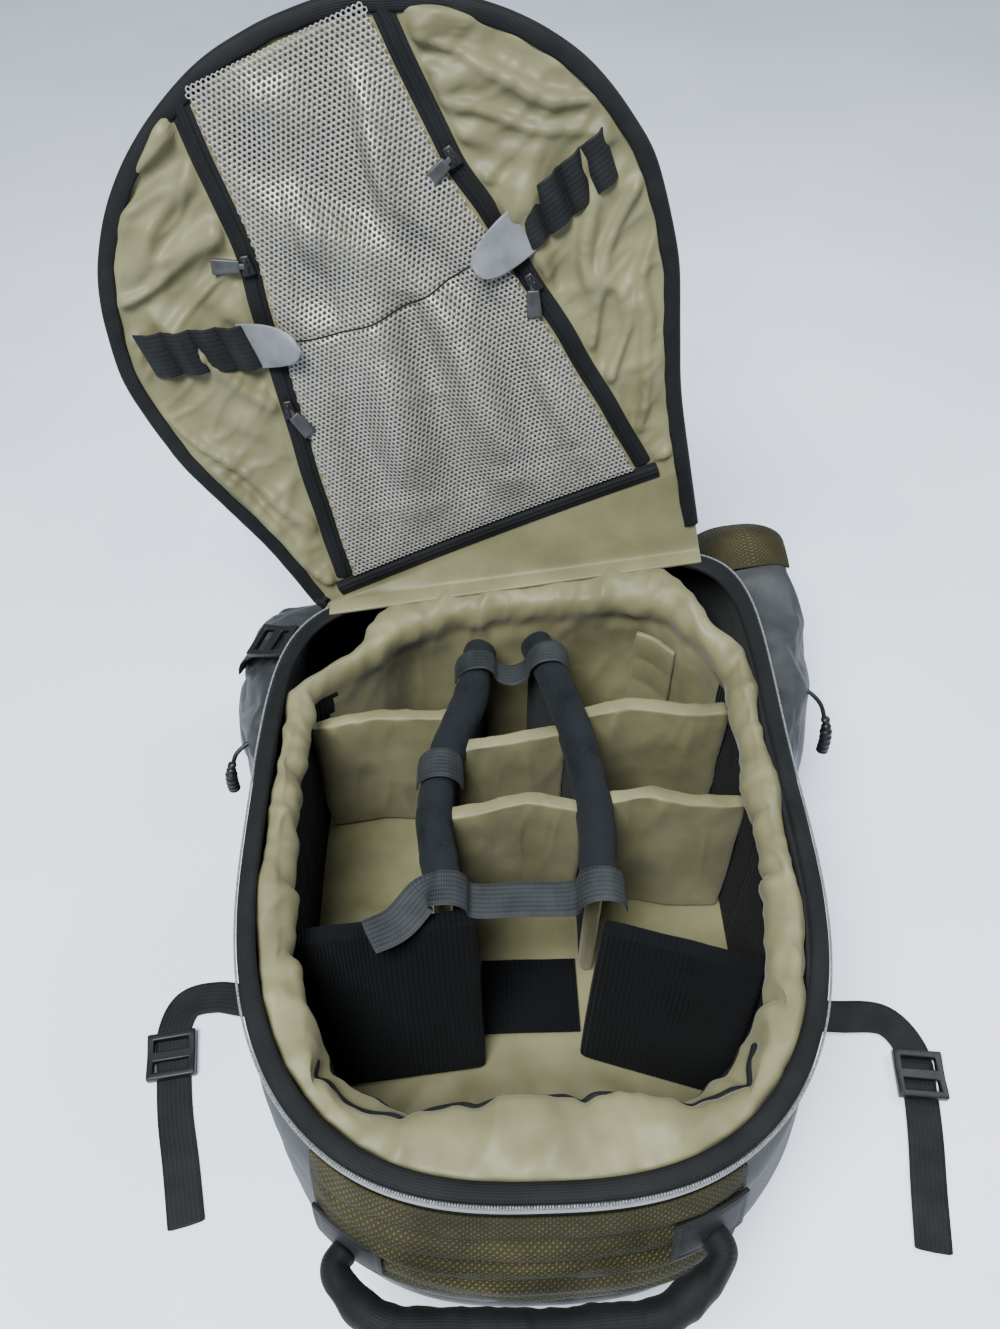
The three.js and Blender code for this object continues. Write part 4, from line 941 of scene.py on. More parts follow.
# The cross dividers: thin foam boards in khaki nylon, with hook tape at their ends that grips the loop
# fabric. They stand between the liner and the long dividers; the long ones have creased along their tops.
def board_reach(node, middle, run):
    """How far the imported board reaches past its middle, to each side: at its foot, then at its top."""
    P = np.array([v.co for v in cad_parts[node].data.vertices]) * 1000
    rise = (P[:, 2] - P[:, 2].min()) / np.ptp(P[:, 2])
    along = (P[:, :2] - middle) @ run
    return np.array([(-along[band].min(), along[band].max()) for band in (rise < 0.35, rise > 0.65)])


def cross_board(name, node, start, end, height, thick, kinks, crown, tilt=0.0, material=None,
                wrinkle=1.0, seed=0, slot_name="khaki_lining"):
    start, end = np.asarray(start, float), np.asarray(end, float)
    middle, run = (start + end) / 2, (end - start) / np.linalg.norm(end - start)
    side = np.array([-run[1], run[0]])
    reach = board_reach(node, middle, run)
    s = np.linspace(-1, 1, 90)
    u = (s + 1) / 2
    push = sum(by * np.maximum(0, 1 - np.abs(u - at) / width) for at, by, width in kinks) + 0 * u
    push = through(u, np.linspace(0, 1, 13), np.interp(np.linspace(0, 1, 13), u, push))
    unit = np.linalg.norm(end - start) / 2
    centres = middle + run * (s * unit)[:, None] + side * push[:, None]
    top = standing + height + crown * (1 - np.abs(u - (kinks[0][0] if kinks else 0.5)) * 1.6)
    top = top + 0.8 * noise(np.column_stack([u * 90, 0 * u, 0 * u]), 16, seed)
    board = padded_board(name, centres, standing, top, thick - 2.5, puff=1.6, tilt=tilt)
    # At each height the board's ends run out to what it leans on.
    P = points_of(board)
    v = np.clip((P[:, 2] - standing) / height, 0, 1)
    along = (P[:, :2] - middle) @ run
    ends = [np.interp(v, (0.1, 0.9), reach[:, k]) - 0.8 for k in (0, 1)]
    wanted = np.where(along < 0, along * ends[0], along * ends[1]) / unit
    P[:, :2] += run * (wanted - along)[:, None]
    move_points(board, P)
    local = np.stack([wanted, (P[:, :2] - middle) @ side, P[:, 2]], 1)
    fold = crumple(local, 110, 34, 3.4 * wrinkle, seed)
    slack = ridges(local, (22, 22, 60), seed + 7) - 0.3
    fold = fold + wrinkle * (1.6 * slack + 0.9 * noise(local, (12, 12, 30), seed + 5)) * smooth(v, 0.5, 1.0)
    push_out(board, lambda Q: fold * smooth(v, 0.02, 0.2) * (1 - 0.6 * smooth(v, 0.93, 1)))
    rounded(board)
    finish_piece(board, node, material or khaki_nylon)
    return board


def shared_y(pair):
    return [share * liner_inner[2] for share in pair]


for name, pair, kinks, crown, seed in [
    ("left", (0.6, 0.62), [(0.45, 6, 0.45)], 1, 51),
    ("right_far", (0.58, 0.56), [(0.35, 6, 0.35)], 1.5, 52),
    ("right_near", (0.2, 0.18), [(0.3, 6, 0.3)], 2, 53),
    ("centre_far", (0.45, 0.52), [], 0, 54),
    ("centre_near", (0.16, 0.16), [(0.6, 9, 0.5)], 4, 55),
]:
    y0, y1 = shared_y(pair)
    if name == "left":
        ends = (-liner_outer[0], y0), (long_x("left", y1), y1)
    elif name.startswith("right"):
        ends = (long_x("right", y0), y0), (liner_outer[0], y1)
    else:
        ends = (long_x("left", y0), y0), (long_x("right", y1), y1)
    cross_board(
        "cross_board_" + name, "cross_divider_" + name, *ends, 142, 12, kinks, crown, seed=seed
    )

# The two wide dividers at the handle end: thicker boards in ribbed loop fabric, ribs running top to
# bottom, leaning back against the cells behind them.
for name, ends, tilt, seed in [
    ("left", ((-1.1, -0.33), (-0.21, -0.25)), 42, 61),
    ("right", ((0.29, -0.3), (1.1, -0.53)), 28, 62),
]:
    start, end = [(x * liner_inner[0], y * liner_inner[1]) for x, y in ends]
    cross_board(
        "loop_board_" + name, "loop_divider_" + name, start, end, 138, 14, [], 0, tilt=tilt,
        material=loop_fabric, wrinkle=0.35, seed=seed, slot_name="loop_pile",
    )


# The grey straps: flat nylon webbing with hook tape under it. Two tie the bolsters together across the
# middle and one is wrapped round the left bolster alone.
def ribbon_piece(name, centres, across, width, thick, seed=0, ripple=0.0):
    """A flat woven ribbon: centres along its length and the direction across it at each."""
    C, A = np.asarray(centres, float), np.asarray(across, float)
    A = A / np.linalg.norm(A, axis=1, keepdims=True)
    T = np.gradient(C, axis=0)
    T /= np.linalg.norm(T, axis=1, keepdims=True)
    N = np.cross(A, T)
    N /= np.linalg.norm(N, axis=1, keepdims=True)
    w = np.linspace(-1, 1, 15)
    rim = np.sqrt(np.clip(1 - np.abs(w) ** 14, 0.05, 1))
    top = [(x * width / 2, r * thick / 2) for x, r in zip(w, rim)]
    bottom = [(x, -h) for x, h in top[::-1]]
    section = top + bottom
    P = np.stack([C + A * x + N * h for x, h in section], 1)
    if ripple:
        P += N[:, None] * (ripple * noise(P, 26, seed))[..., None]
    along = lengths_along(C)
    girth = np.array([x for x, _ in top] + [width + 1 + x for x, _ in bottom[::-1]] + [-width / 2])
    return outward(grid_piece(name, P, along, girth, wrap_v=True, caps=True))


def webbing_material(name, dark, light, rough=0.62):
    """Flat webbing: fine cross ribs, crossed by fine threads running along its length."""
    material, tree, shader = new_material(name)
    coordinates = add(tree, "TexCoord")
    uv = coordinates.outputs["UV"]
    rib = add(
        tree, "TexWave", {"Vector": uv, "Scale": 0.314 / 0.0016}, bands_direction="X"
    ).outputs["Fac"]
    cord = add(
        tree, "TexWave", {"Vector": uv, "Scale": 0.314 / 0.0031}, bands_direction="Y"
    ).outputs["Fac"]
    both = add(tree, "Math", {0: rib, 1: cord}, operation="MULTIPLY").outputs[0]
    worn = add(
        tree, "TexNoise", {"Vector": coordinates.outputs["Object"], "Scale": 45.0, "Detail": 5.0}
    ).outputs["Fac"]
    share = add(tree, "Math", {0: both, 1: 0.5}, operation="MULTIPLY").outputs[0]
    share = add(tree, "Math", {0: share, 1: worn}, operation="ADD").outputs[0]
    tree.links.new(ramp(tree, share, [(0.35, dark), (0.95, light)]), shader.inputs["Base Color"])
    low = add(tree, "Bump", {"Height": worn, "Strength": 0.2, "Distance": 0.0008}).outputs["Normal"]
    tree.links.new(
        add(tree, "Bump", {"Height": both, "Strength": 0.35, "Distance": 0.0004, "Normal": low}).outputs[
            "Normal"
        ],
        shader.inputs["Normal"],
    )
    shader.inputs["Roughness"].default_value = rough
    shader.inputs["Specular IOR Level"].default_value = 0.15
    shader.inputs["Sheen Weight"].default_value = 0.02
    return material


grey_webbing = webbing_material("grey_webbing", "#15181A", "#2C3133")
web_width, web_thick = 25.0, 1.6


def over_bolster(x, y):
    reach, rise = 13.5 + 1.4 + 0.8, 17 + 1.4 + 0.8
    return [
        (x + reach * math.cos(math.radians(a)), y, rise * math.sin(math.radians(a)))
        for a in (175, 145, 110, 70, 35, 5)
    ]


def strap_over(name, node, rows, width, seed):
    path = spline([(x, y, bolster_middle + up) for x, y, up in rows], 110)
    T = np.gradient(path, axis=0)
    across = np.stack([-T[:, 1], T[:, 0], 0 * T[:, 0]], 1)
    strap = ribbon_piece(name, path, across, width, web_thick, seed, 0.5)
    move_points(strap, slump(points_of(strap)))
    rounded(strap)
    finish_piece(strap, node, grey_webbing)


y = strap_y["near"]
left_x, right_x = long_x("left", y), long_x("right", y)
strap_over(
    "strap_near", "divider_strap_near",
    [(left_x - 1.92 * 25, y - 26, 5), (left_x - 30, y - 17, 5), *over_bolster(left_x, y)[1:],
     ((left_x + right_x) / 2, y, 0.5), *over_bolster(right_x, y)],
    web_width, 71,
)
y = strap_y["far"]
left_x, right_x = long_x("left", y), long_x("right", y)
strap_over(
    "strap_far", "divider_strap_far",
    [*over_bolster(left_x, y), ((left_x + right_x) / 2, y, -5), *over_bolster(right_x, y)],
    web_width * 0.8, 72,
)
strap_over(
    "strap_band", "bolster_band", over_bolster(long_x("left", strap_y["band"]), strap_y["band"]),
    web_width, 73,
)

# The quilted strip: a narrow padded tab of khaki nylon, sewn upright on the liner's far wall.
indices = np.linspace(24.0, 26.0, 18) / 64
heights = standing + np.linspace(0.3, 0.98, 40) * 142
S, H = np.meshgrid(indices, heights, indexing="ij")
front = liner_point(S, resized(liner_inner, -3.8), H)
inward = liner_point(S, resized(liner_inner, -4.8), H) - front
cells = np.abs(np.sin(np.linspace(0, 4 * np.pi, 40)))[None, :] ** 0.5
cells = cells * np.sin(np.linspace(0, np.pi, 18))[:, None] ** 0.4
front = front + inward * (1.6 * cells)[..., None]
strip = thick_sheet("far_strip", slump(front), np.linspace(0, 42, 18), heights - standing, 2.6)
finish_piece(strip, "far_wall_strip", khaki_nylon)


# The lid: the pack's front panel, unzipped round three sides and thrown back over the hinge end. Its
# lining is loose khaki nylon, gathered at the binding and at the zips, so it is full of small folds.
lean, turned = math.radians(15), math.radians(21.5)
lid_height, lid_base_half, lid_hinge_half, lid_thick = 355.0, 146.0, 140.0, 3.5
lid_up = np.array([0, math.sin(lean), math.cos(lean)])
lid_front = np.array([0, -math.cos(lean), math.sin(lean)])
lid_along = np.array([-math.sin(turned), 0, 0]) + lid_up * math.cos(turned)
lid_across = np.array([math.cos(turned), 0, 0]) + lid_up * math.sin(turned)
lid_base = np.array([-11.5, mouth_far, rim_height]) + lid_up * 34
lid_arch = np.array(
    [
        (0, 1), (0.17, 1.07), (0.29, 1.15), (0.43, 1.235), (0.57, 1.255), (0.67, 1.2), (0.75, 1.12),
        (0.823, 0.99), (0.88, 0.84), (0.925, 0.67), (0.965, 0.45), (0.99, 0.22), (0.996, 0.0),
    ]
)
zip_lines = np.array([(0, 0.829), (0.33, 0.685), (0.57, 0.562), (0.72, 0.486), (1, 0.438)])
lining_face = lid_thick / 2 + clear
zip_width = 13.0
pocket_base, pocket_top = 4.0, 0.972 * lid_height


def lid_half(a):
    return through(np.asarray(a, float) / lid_height, lid_arch[:, 0], lid_arch[:, 1]) * lid_base_half


def zip_at(a):
    return through(np.asarray(a, float) / lid_height, zip_lines[:, 0], zip_lines[:, 1]) * lid_base_half


def lid_plane(a, b):
    a, b = np.broadcast_arrays(np.asarray(a, float), np.asarray(b, float))
    dish = 14 * (0.7 * (b / (1.3 * lid_base_half)) ** 2 + 0.5 * np.maximum(0, a / lid_height) ** 3)
    return lid_base + lid_along * a[..., None] + lid_across * b[..., None] + lid_front * dish[..., None]


def lid_normal(a, b):
    da = lid_plane(a + 1.0, b) - lid_plane(a - 1.0, b)
    db = lid_plane(a, b + 1.0) - lid_plane(a, b - 1.0)
    n = np.cross(db, da)
    return n / np.linalg.norm(n, axis=-1, keepdims=True)


def lid_point(a, b, offset=0.0):
    a, b = np.asarray(a, float), np.asarray(b, float)
    return lid_plane(a, b) + lid_normal(a, b) * np.asarray(offset, float)[..., None]


def hinge_point(s):
    s = np.asarray(s, float)
    z = rim_height + clear + 3 + 1.2 + lid_thick / 2
    P = np.stack([s * lid_hinge_half, np.full(s.shape, mouth_far - 2.0), np.full(s.shape, z)], -1)
    return slump(P)


def lid_sheet(up, s, offset=0.0):
    """The lid's middle surface: up from -1 at the hinge, 0 at the base zip, to 1 at the top of the arch;
    s from -1 to 1 across."""
    up, s, offset = np.broadcast_arrays(*[np.asarray(v, float) for v in (up, s, offset)])
    a = np.maximum(up, 0) * 0.996 * lid_height
    above = lid_point(a, s * lid_half(a), offset)
    foot = hinge_point(s) + lid_front * offset[..., None]
    low = np.clip(-up, 0, 1)[..., None]
    over_rim = np.clip(-up - 1, 0, 1)[..., None]
    return above * (1 - low) + foot * low + over_rim * (0, -13, 0) + over_rim**3 * (0, 0, -1.5)


def settle(piece, pinned, grow, frames=22, bend=0.6, pressure=0.0, cap=9.0, seed=0, start=0.5):
    """Lets loose cloth that was cut larger than its frame find its own folds, by simulation. pinned is
    0 to 1 for each point; cap is how far in millimetres a point may move."""
    P = points_of(piece)
    N = normals_of(piece)
    before = P.copy()
    free = 1 - np.clip(pinned, 0, 1)
    push = start * (noise(P, 17, seed) + 0.6 * noise(P, 8, seed + 1)) * free
    move_points(piece, P + N * push[:, None])
    group = piece.vertex_groups.new(name="held")
    for i, weight in enumerate(pinned):
        if weight > 0.01:
            group.add([i], float(weight), "REPLACE")
    choose(piece)
    cloth = piece.modifiers.new("folds", "CLOTH")
    rules = cloth.settings
    rules.quality = 6
    rules.mass = 0.15
    rules.tension_stiffness = rules.compression_stiffness = 22
    rules.shear_stiffness = 8
    rules.bending_stiffness = bend
    rules.tension_damping = rules.compression_damping = 8
    rules.air_damping = 6
    rules.shrink_min = -grow
    rules.effector_weights.gravity = 0
    rules.vertex_group_mass = "held"
    if pressure:
        rules.use_pressure = True
        rules.uniform_pressure_force = pressure
    cloth.collision_settings.use_collision = False
    cloth.collision_settings.use_self_collision = False
    cloth.point_cache.frame_start = 1
    cloth.point_cache.frame_end = frames
    for step in range(1, frames + 1):
        bpy.context.scene.frame_set(step)
    bpy.ops.object.modifier_apply(modifier=cloth.name)
    bpy.context.scene.frame_set(1)
    after = points_of(piece)
    moved = after - before
    far = np.linalg.norm(moved, axis=1)
    moved *= (cap * np.tanh(far / cap) / np.maximum(far, 1e-6))[:, None]
    move_points(piece, before + moved)
    piece.vertex_groups.clear()
    return piece


def gathers(along, across, angle, long, short, seed):
    """Creased folds that run at an angle, in degrees from straight up the lid towards its right."""
    turn = math.radians(angle)
    warp = 9 * noise(np.stack([along, across, 0 * along], -1), 60, seed + 9)
    run = along * math.cos(turn) + across * math.sin(turn)
    beside = across * math.cos(turn) - along * math.sin(turn) + warp
    q = np.stack([run / long, beside / short, 0 * run + 0.37 * seed], -1)
    return 0.5 * noise(q, 1, seed) + 1.05 * (ridges(q, 1, seed + 1) - 0.35)


rows, columns = 168, 132
up = np.concatenate([np.linspace(-2, 0, 16)[:-1], np.linspace(0, 1, rows - 15) ** 0.96])
s = np.sin(np.linspace(-1, 1, columns) * np.pi / 2) * 0.25 + np.linspace(-1, 1, columns) * 0.75
U, S = np.meshgrid(up, s, indexing="ij")
face = lid_sheet(U, S, lid_thick / 2)
A = np.maximum(U, 0) * lid_height
B = S * lid_half(A)
away_from_zip = np.abs(B) - zip_at(A)
held = np.maximum.reduce([
    1 - smooth(lid_half(A) - np.abs(B), 7, 16),
    (U > 0) * (1 - smooth(np.abs(away_from_zip), 6, 11)),
    (U > 0) * (1 - smooth(-away_from_zip, 5, 9)) * (away_from_zip < 0),
    1 - smooth(np.abs(U * lid_height - pocket_base - zip_width / 2) * (U > 0) + 99 * (U <= 0), 6, 9),
    1 - smooth(U + 1, 0.02, 0.3),
])
outside = (away_from_zip > 0) & (U > 0)
high_part = smooth(A / lid_height, 0.6, 0.72)
right_folds = (
    high_part * gathers(A, B, 118, 95, 25, 82) + (1 - high_part) * gathers(A, B, 35, 80, 22, 83)
)
left_folds = (
    high_part * gathers(A, B, 75, 80, 24, 84) + (1 - high_part) * gathers(A, B, -22, 120, 24, 85)
)
fold = np.where(B > 0, right_folds, left_folds) * 9.0 + 2.0 * gathers(A, B, 60, 40, 13, 86)
fold = np.where(outside, fold, 0.5 * noise(face, 30, 87)) * (1 - held)
lining = grid_piece("lid_lining", face, up * lid_height, (s + 1) * 170)
lining.data.shade_smooth()
if np.mean(normals_of(lining) @ lid_front) < 0:
    lining.data.flip_normals()
push_out(lining, lambda P: 0.5 * fold.ravel())
settle(lining, np.maximum(held, ~outside * 1.0).ravel(), 0.03, frames=14, cap=5.0, seed=81)
push_out(lining, lambda P: 0.5 * fold.ravel() + 1.2 * (1 - held.ravel()) * outside.ravel())
modifier = lining.modifiers.new("thick", "SOLIDIFY")
modifier.thickness = 0.003
modifier.offset = -1
apply_all(lining)
rounded(outward(lining))
lining.name = "lid_cloth"
finish_piece(lining, "lid_panel", khaki_nylon)


# The net pocket: knitted honeycomb net, silver-grey and a little shiny, sewn flat to the two zips and
# the base zip. It hangs loose from them in a few long folds, and a thin dark seam crosses its middle.
rows, columns = 150, 90
inner = pocket_base + zip_width + clear
a = np.linspace(inner, pocket_top, rows)
t = np.linspace(0, 1, columns)
A, T = np.meshgrid(a, t, indexing="ij")
edge = zip_at(A) - zip_width / 2 - clear
rise = np.clip((A - inner) / (pocket_top - inner), 0, 1)
puff = 15 * np.sin(np.pi * T) ** 0.7 * np.sin(np.pi * np.clip(rise * 1.05, 0, 1)) ** 0.7
# Each fold of the net: across and up at each end as shares of the pocket, its height in mm, then its width
# as a share.
net_folds = [
    (0.7, 0.99, 0.56, 0.72, -17.0, 0.07), (0.56, 0.74, 0.32, 0.82, -14.0, 0.065),
    (0.3, 0.8, 0.05, 0.92, -9.0, 0.06), (0.8, 0.84, 0.62, 0.6, 13.0, 0.055),
    (0.6, 0.74, 0.82, 0.44, -13.0, 0.055), (0.1, 0.64, 0.34, 0.56, -13.0, 0.06),
    (0.4, 0.95, 0.24, 0.99, 9.0, 0.06), (0.2, 0.72, 0.4, 0.68, 10.0, 0.05),
    (0.58, 0.56, 0.52, 0.3, -15.0, 0.06), (0.4, 0.46, 0.3, 0.12, 13.0, 0.06),
    (0.7, 0.44, 0.64, 0.1, 13.0, 0.055), (0.86, 0.42, 0.74, 0.12, -12.0, 0.055),
    (0.2, 0.42, 0.16, 0.1, -11.0, 0.06), (0.5, 0.3, 0.46, 0.06, -9.0, 0.05),
    (0.92, 0.3, 0.88, 0.08, 9.0, 0.05),
]
fold = 0
for x0, y0, x1, y1, high, wide in net_folds:
    run = np.array([x1 - x0, y1 - y0])
    q = np.clip(((T - x0) * run[0] + (rise - y0) * run[1]) / (run @ run), 0, 1)
    away = np.hypot((T - x0 - q * run[0]) * 0.7, rise - y0 - q * run[1])
    fold = fold + high * np.exp(-((away / wide) ** 2)) * np.sin(np.pi * np.clip(q, 0.08, 0.92)) ** 0.6
held = smooth(np.minimum.reduce([T, 1 - T, rise * 1.6, (1 - rise) * 1.6]), 0, 0.16)
seam_line = 0.5 + 0.01 * T + 0.035 * (2 * T - 1) ** 2
seam = -1.2 * np.exp(-(((rise - seam_line) / 0.008) ** 2))
fold = fold + 2.2 * noise(np.stack([A, T * 180, 0 * A], -1), (46, 26, 30), 91)
net_height = lining_face + 2.5 + puff + fold * held + seam * held
# Where a fold would reach the lining, the net lies on it instead.
net_rest, softness = lining_face + 2.4, 1.5
net_height = net_rest + np.logaddexp(0, (net_height - net_rest) / softness) * softness


def net_point(a, t, lift=0.0):
    """A point on the settled net, for any place between its zips."""
    i = np.clip((a - inner) / (pocket_top - inner) * (rows - 1), 0, rows - 1.001)
    j = np.clip(t * (columns - 1), 0, columns - 1.001)
    i0, j0 = i.astype(int), j.astype(int)
    fi, fj = i - i0, j - j0
    h = (
        net_height[i0, j0] * (1 - fi) * (1 - fj) + net_height[i0 + 1, j0] * fi * (1 - fj)
        + net_height[i0, j0 + 1] * (1 - fi) * fj + net_height[i0 + 1, j0 + 1] * fi * fj
    )
    half = zip_at(a) - zip_width / 2 - clear
    return lid_point(a, (2 * t - 1) * half, np.maximum(h, lining_face + 0.4) + lift)


silver_net, tree, shader = new_material("silver_net")
coordinates = add(tree, "TexCoord").outputs["Object"]
glint = add(tree, "TexNoise", {"Vector": coordinates, "Scale": 700.0, "Detail": 2.0}).outputs["Fac"]
tree.links.new(ramp(tree, glint, [(0.3, "#545553"), (0.7, "#858582")]), shader.inputs["Base Color"])
shader.inputs["Roughness"].default_value = 0.35
shader.inputs["Specular IOR Level"].default_value = 1.0

pitch = 3.3
net_faces = []
ring = [(math.cos(math.radians(60 * k + 30)), math.sin(math.radians(60 * k + 30))) for k in range(6)]
index_of = {}
hole = 0.60
radius = pitch / math.sqrt(3)
count_rows = int((pocket_top - inner) / (pitch * 0.866))
plan_a, plan_b, plan_lift = [], [], []


def net_corner(a, b, lift):
    """The number of a corner of the net's cells, made new where no cell has used it yet."""
    key = (round(a, 2), round(b, 2), lift)
    if key not in index_of:
        index_of[key] = len(plan_a)
        plan_a.append(a)
        plan_b.append(b)
        plan_lift.append(lift)
    return index_of[key]


for i in range(count_rows + 1):
    middle_a = inner + 1.0 + i * pitch * 0.866
    if middle_a > pocket_top - 1.2:
        continue
    half = float(zip_at(middle_a)) - zip_width / 2 - clear
    count = int(2 * half / pitch) + 2
    for j in range(-count // 2 - 1, count // 2 + 2):
        middle_b = (j + 0.5 * (i % 2)) * pitch
        if abs(middle_b) > min(half - pitch * 0.3, float(lid_half(middle_a)) - 11):
            continue
        outer, rim, foot = [
            [net_corner(middle_a + radius * size * y, middle_b + radius * size * x, lift) for x, y in ring]
            for size, lift in ((1, 0.0), (hole, 0.25), (hole * 1.1, -0.7))
        ]
        for k in range(6):
            m = (k + 1) % 6
            net_faces.append((outer[k], outer[m], rim[m], rim[k]))
            net_faces.append((rim[k], rim[m], foot[m], foot[k]))
plan_a, plan_b = np.array(plan_a), np.array(plan_b)
half = zip_at(plan_a) - zip_width / 2 - clear
net_xyz = net_point(plan_a, np.clip(plan_b / half * 0.5 + 0.5, 0, 1), np.array(plan_lift))
net = mesh_piece("net_pocket", net_xyz, net_faces)
work = bmesh.new()
work.from_mesh(net.data)
bmesh.ops.recalc_face_normals(work, faces=work.faces)
work.to_mesh(net.data)
work.free()
net.data.shade_smooth()
finish_piece(net, "lid_mesh_pocket", silver_net)


# The zips: dark woven tape with a reversed nylon coil, so a smooth double ridge shows along the middle.
def zip_strip(name, node, line, up, width=zip_width):
    """A zip along a line of points, with its tape and coil ridge; up is the surface's normal there."""
    across = np.cross(up, np.gradient(line, axis=0))
    across /= np.linalg.norm(across, axis=1, keepdims=True)
    section = [
        (-0.5, 0.0), (-0.5, 0.8), (-0.3, 1.0), (-0.24, 1.3), (-0.18, 2.1), (-0.1, 2.4), (-0.03, 2.2),
        (0.0, 1.9), (0.03, 2.2), (0.1, 2.4), (0.18, 2.1), (0.24, 1.3), (0.3, 1.0), (0.5, 0.8), (0.5, 0.0),
    ]
    P = np.stack([line + across * (x * width) + up * z for x, z in section], 1)
    along = lengths_along(line)
    piece = grid_piece(name, P, along, np.linspace(0, 2 * width, len(section) + 1), wrap_v=True, caps=True)
    rounded(outward(piece))
    return finish_piece(piece, node, tape_cloth)


# A thin dark seam crosses the net where its two parts are joined.
t = np.linspace(0.02, 0.98, 120)
seam_rise = 0.5 + 0.01 * t + 0.035 * (2 * t - 1) ** 2
seam_line = net_point(inner + seam_rise * (pocket_top - inner), t, 0.5)
seam_cord = tube("net_seam", seam_line, 0.5, 8)
finish_piece(seam_cord, None, tape_cloth)

a = np.linspace(inner, 0.955 * lid_height, 120)
for side, sign in (("left", -1), ("right", 1)):
    wander = 1.2 * noise(np.stack([a, 0 * a, 0 * a + sign * 50], -1), 38, 95)
    b = sign * zip_at(a) + wander
    up_there = lid_normal(a, b)
    line = lid_point(a, b, np.full(len(a), lining_face))
    zip_strip("zip_" + side, "lid_zip_" + side, line, up_there)
b = np.linspace(-1, 1, 130) * (float(zip_at(pocket_base)) + zip_width / 2)
a = np.full(len(b), pocket_base + zip_width / 2)
line = lid_point(a, b, np.full(len(b), lining_face))
zip_strip("zip_base", "lid_zip_base", line, lid_normal(a, b))


# The binding: black nylon tape folded round the raw edge of the lid and sewn through. It pulls a little
# on the curve, so it waves along its inner edge.
def lid_outline(count):
    """Points round the lid's edge from one hinge end to the other, with the surface's normal there."""
    side_up = np.concatenate(
        [np.linspace(-0.66, 0, 14)[:-1], np.linspace(0, 0.9, 60), np.linspace(0.905, 1, 46)]
    )
    a = np.maximum(side_up, 0) * lid_height
    points = [lid_sheet(side_up, -1.0), lid_sheet(side_up[::-1], 1.0)[1:]]
    normals = [lid_normal(a, -lid_half(a)), lid_normal(a, lid_half(a))[::-1][1:]]
    P, N = np.vstack(points), np.vstack(normals)
    length = lengths_along(P)
    wanted = np.linspace(0, length[-1], count)
    P = np.stack([np.interp(wanted, length, P[:, k]) for k in range(3)], 1)
    N = np.stack([np.interp(wanted, length, N[:, k]) for k in range(3)], 1)
    return P, N / np.linalg.norm(N, axis=1, keepdims=True)


P0, N0 = lid_outline(460)
kernel = np.ones(9) / 9
smoothed = np.stack(
    [np.convolve(np.pad(P0[:, k], 4, mode="edge"), kernel, "valid") for k in range(3)], 1
)
smoothed[:4], smoothed[-4:] = P0[:4], P0[-4:]
T = np.gradient(smoothed, axis=0)
T /= np.linalg.norm(T, axis=1, keepdims=True)
inward = np.cross(T, N0)
middle_of_lid = lid_point(np.array(150.0), np.array(0.0), np.array(0.0))
inward *= np.sign(((middle_of_lid - smoothed) * inward).sum(1))[:, None]
face_out = lining_face
# The tape's section, round both of its faces: inward from the lid's edge, then out from its middle.
section = np.array([
    (9, face_out + 1.3), (7, face_out + 2.0), (4, face_out + 2.3), (1, face_out + 2.0),
    (-1.2, face_out + 0.8), (-2.2, 0), (-1.2, -face_out - 1.0), (2, -face_out - 1.9),
    (5, -face_out - 1.7), (9, -face_out - 1.2), (9.3, -face_out - 0.1), (5, -face_out),
    (1.5, -face_out), (0.6, 0), (1.5, face_out), (5, face_out), (9.2, face_out + 0.1),
])
points, girth = sampled_loop(section, 34)
along = np.arange(len(smoothed)) / len(smoothed) * 1150.0
ripple = noise(np.stack([along, 0 * along, 0 * along], -1), 21, 97)
grid = np.stack([
    smoothed + inward * (x + (x > 5) * 1.0 * ripple)[:, None]
    + N0 * (z + 0.5 * noise(np.stack([along, 0 * along + x, 0 * along], -1), 12, 98))[:, None]
    for x, z in points
], 1)
binding = grid_piece("lid_edge_tape", grid, along, np.linspace(0, girth, 35), wrap_v=True, caps=True)
finish_piece(outward(binding), "lid_binding", tape_cloth)

# The elastic bands: black webbing sewn down at short steps across each side of the lid, so it stands
# off in small loops for pens and cables. Each runs from the binding to a rubber tab.
black_webbing = webbing_material("black_webbing", "#090A0B", "#181B1D")
elastic_inner, elastic_outer = 0.555 * lid_height, 0.617 * lid_height
elastic_width, elastic_thick = 30.0, 1.4
binding_width = 14
for side, sign, bumps in (("left", -1, (1.0, 0.8, 1.15, 0.9)), ("right", 1, (0.9, 1.1, 0.75, 1.0))):
    b0 = float(zip_at(elastic_inner - elastic_width / 2)) + zip_width / 2 + 1
    b1 = float(lid_half(elastic_outer + elastic_width / 2)) - binding_width - 1.5
    u = np.linspace(0, 1, 120)
    v = np.linspace(-0.5, 0.5, 18)
    U, V = np.meshgrid(u, v, indexing="ij")
    bump = np.abs(np.sin(U * len(bumps) * np.pi)) ** 0.75 * np.array(bumps)[
        np.clip((U * len(bumps)).astype(int), 0, len(bumps) - 1)
    ]
    lean_over = 3.0 * np.sin(2 * U * len(bumps) * np.pi) * (1 if side == "left" else -1)
    b = b0 + (b1 - b0) * U
    a = elastic_inner + (elastic_outer - elastic_inner) * U + V * elastic_width
    place = lid_point(a, sign * (b + 0.5 * lean_over * bump), lining_face + 1.5 + 6.2 * bump)
    place += lid_normal(a, sign * b) * (0.5 * noise(place, 18, 101))[..., None]
    band = thick_sheet("elastic_" + side, place, u * 95, v * elastic_width, elastic_thick)
    finish_piece(rounded(band), "lid_elastic_" + side, black_webbing)


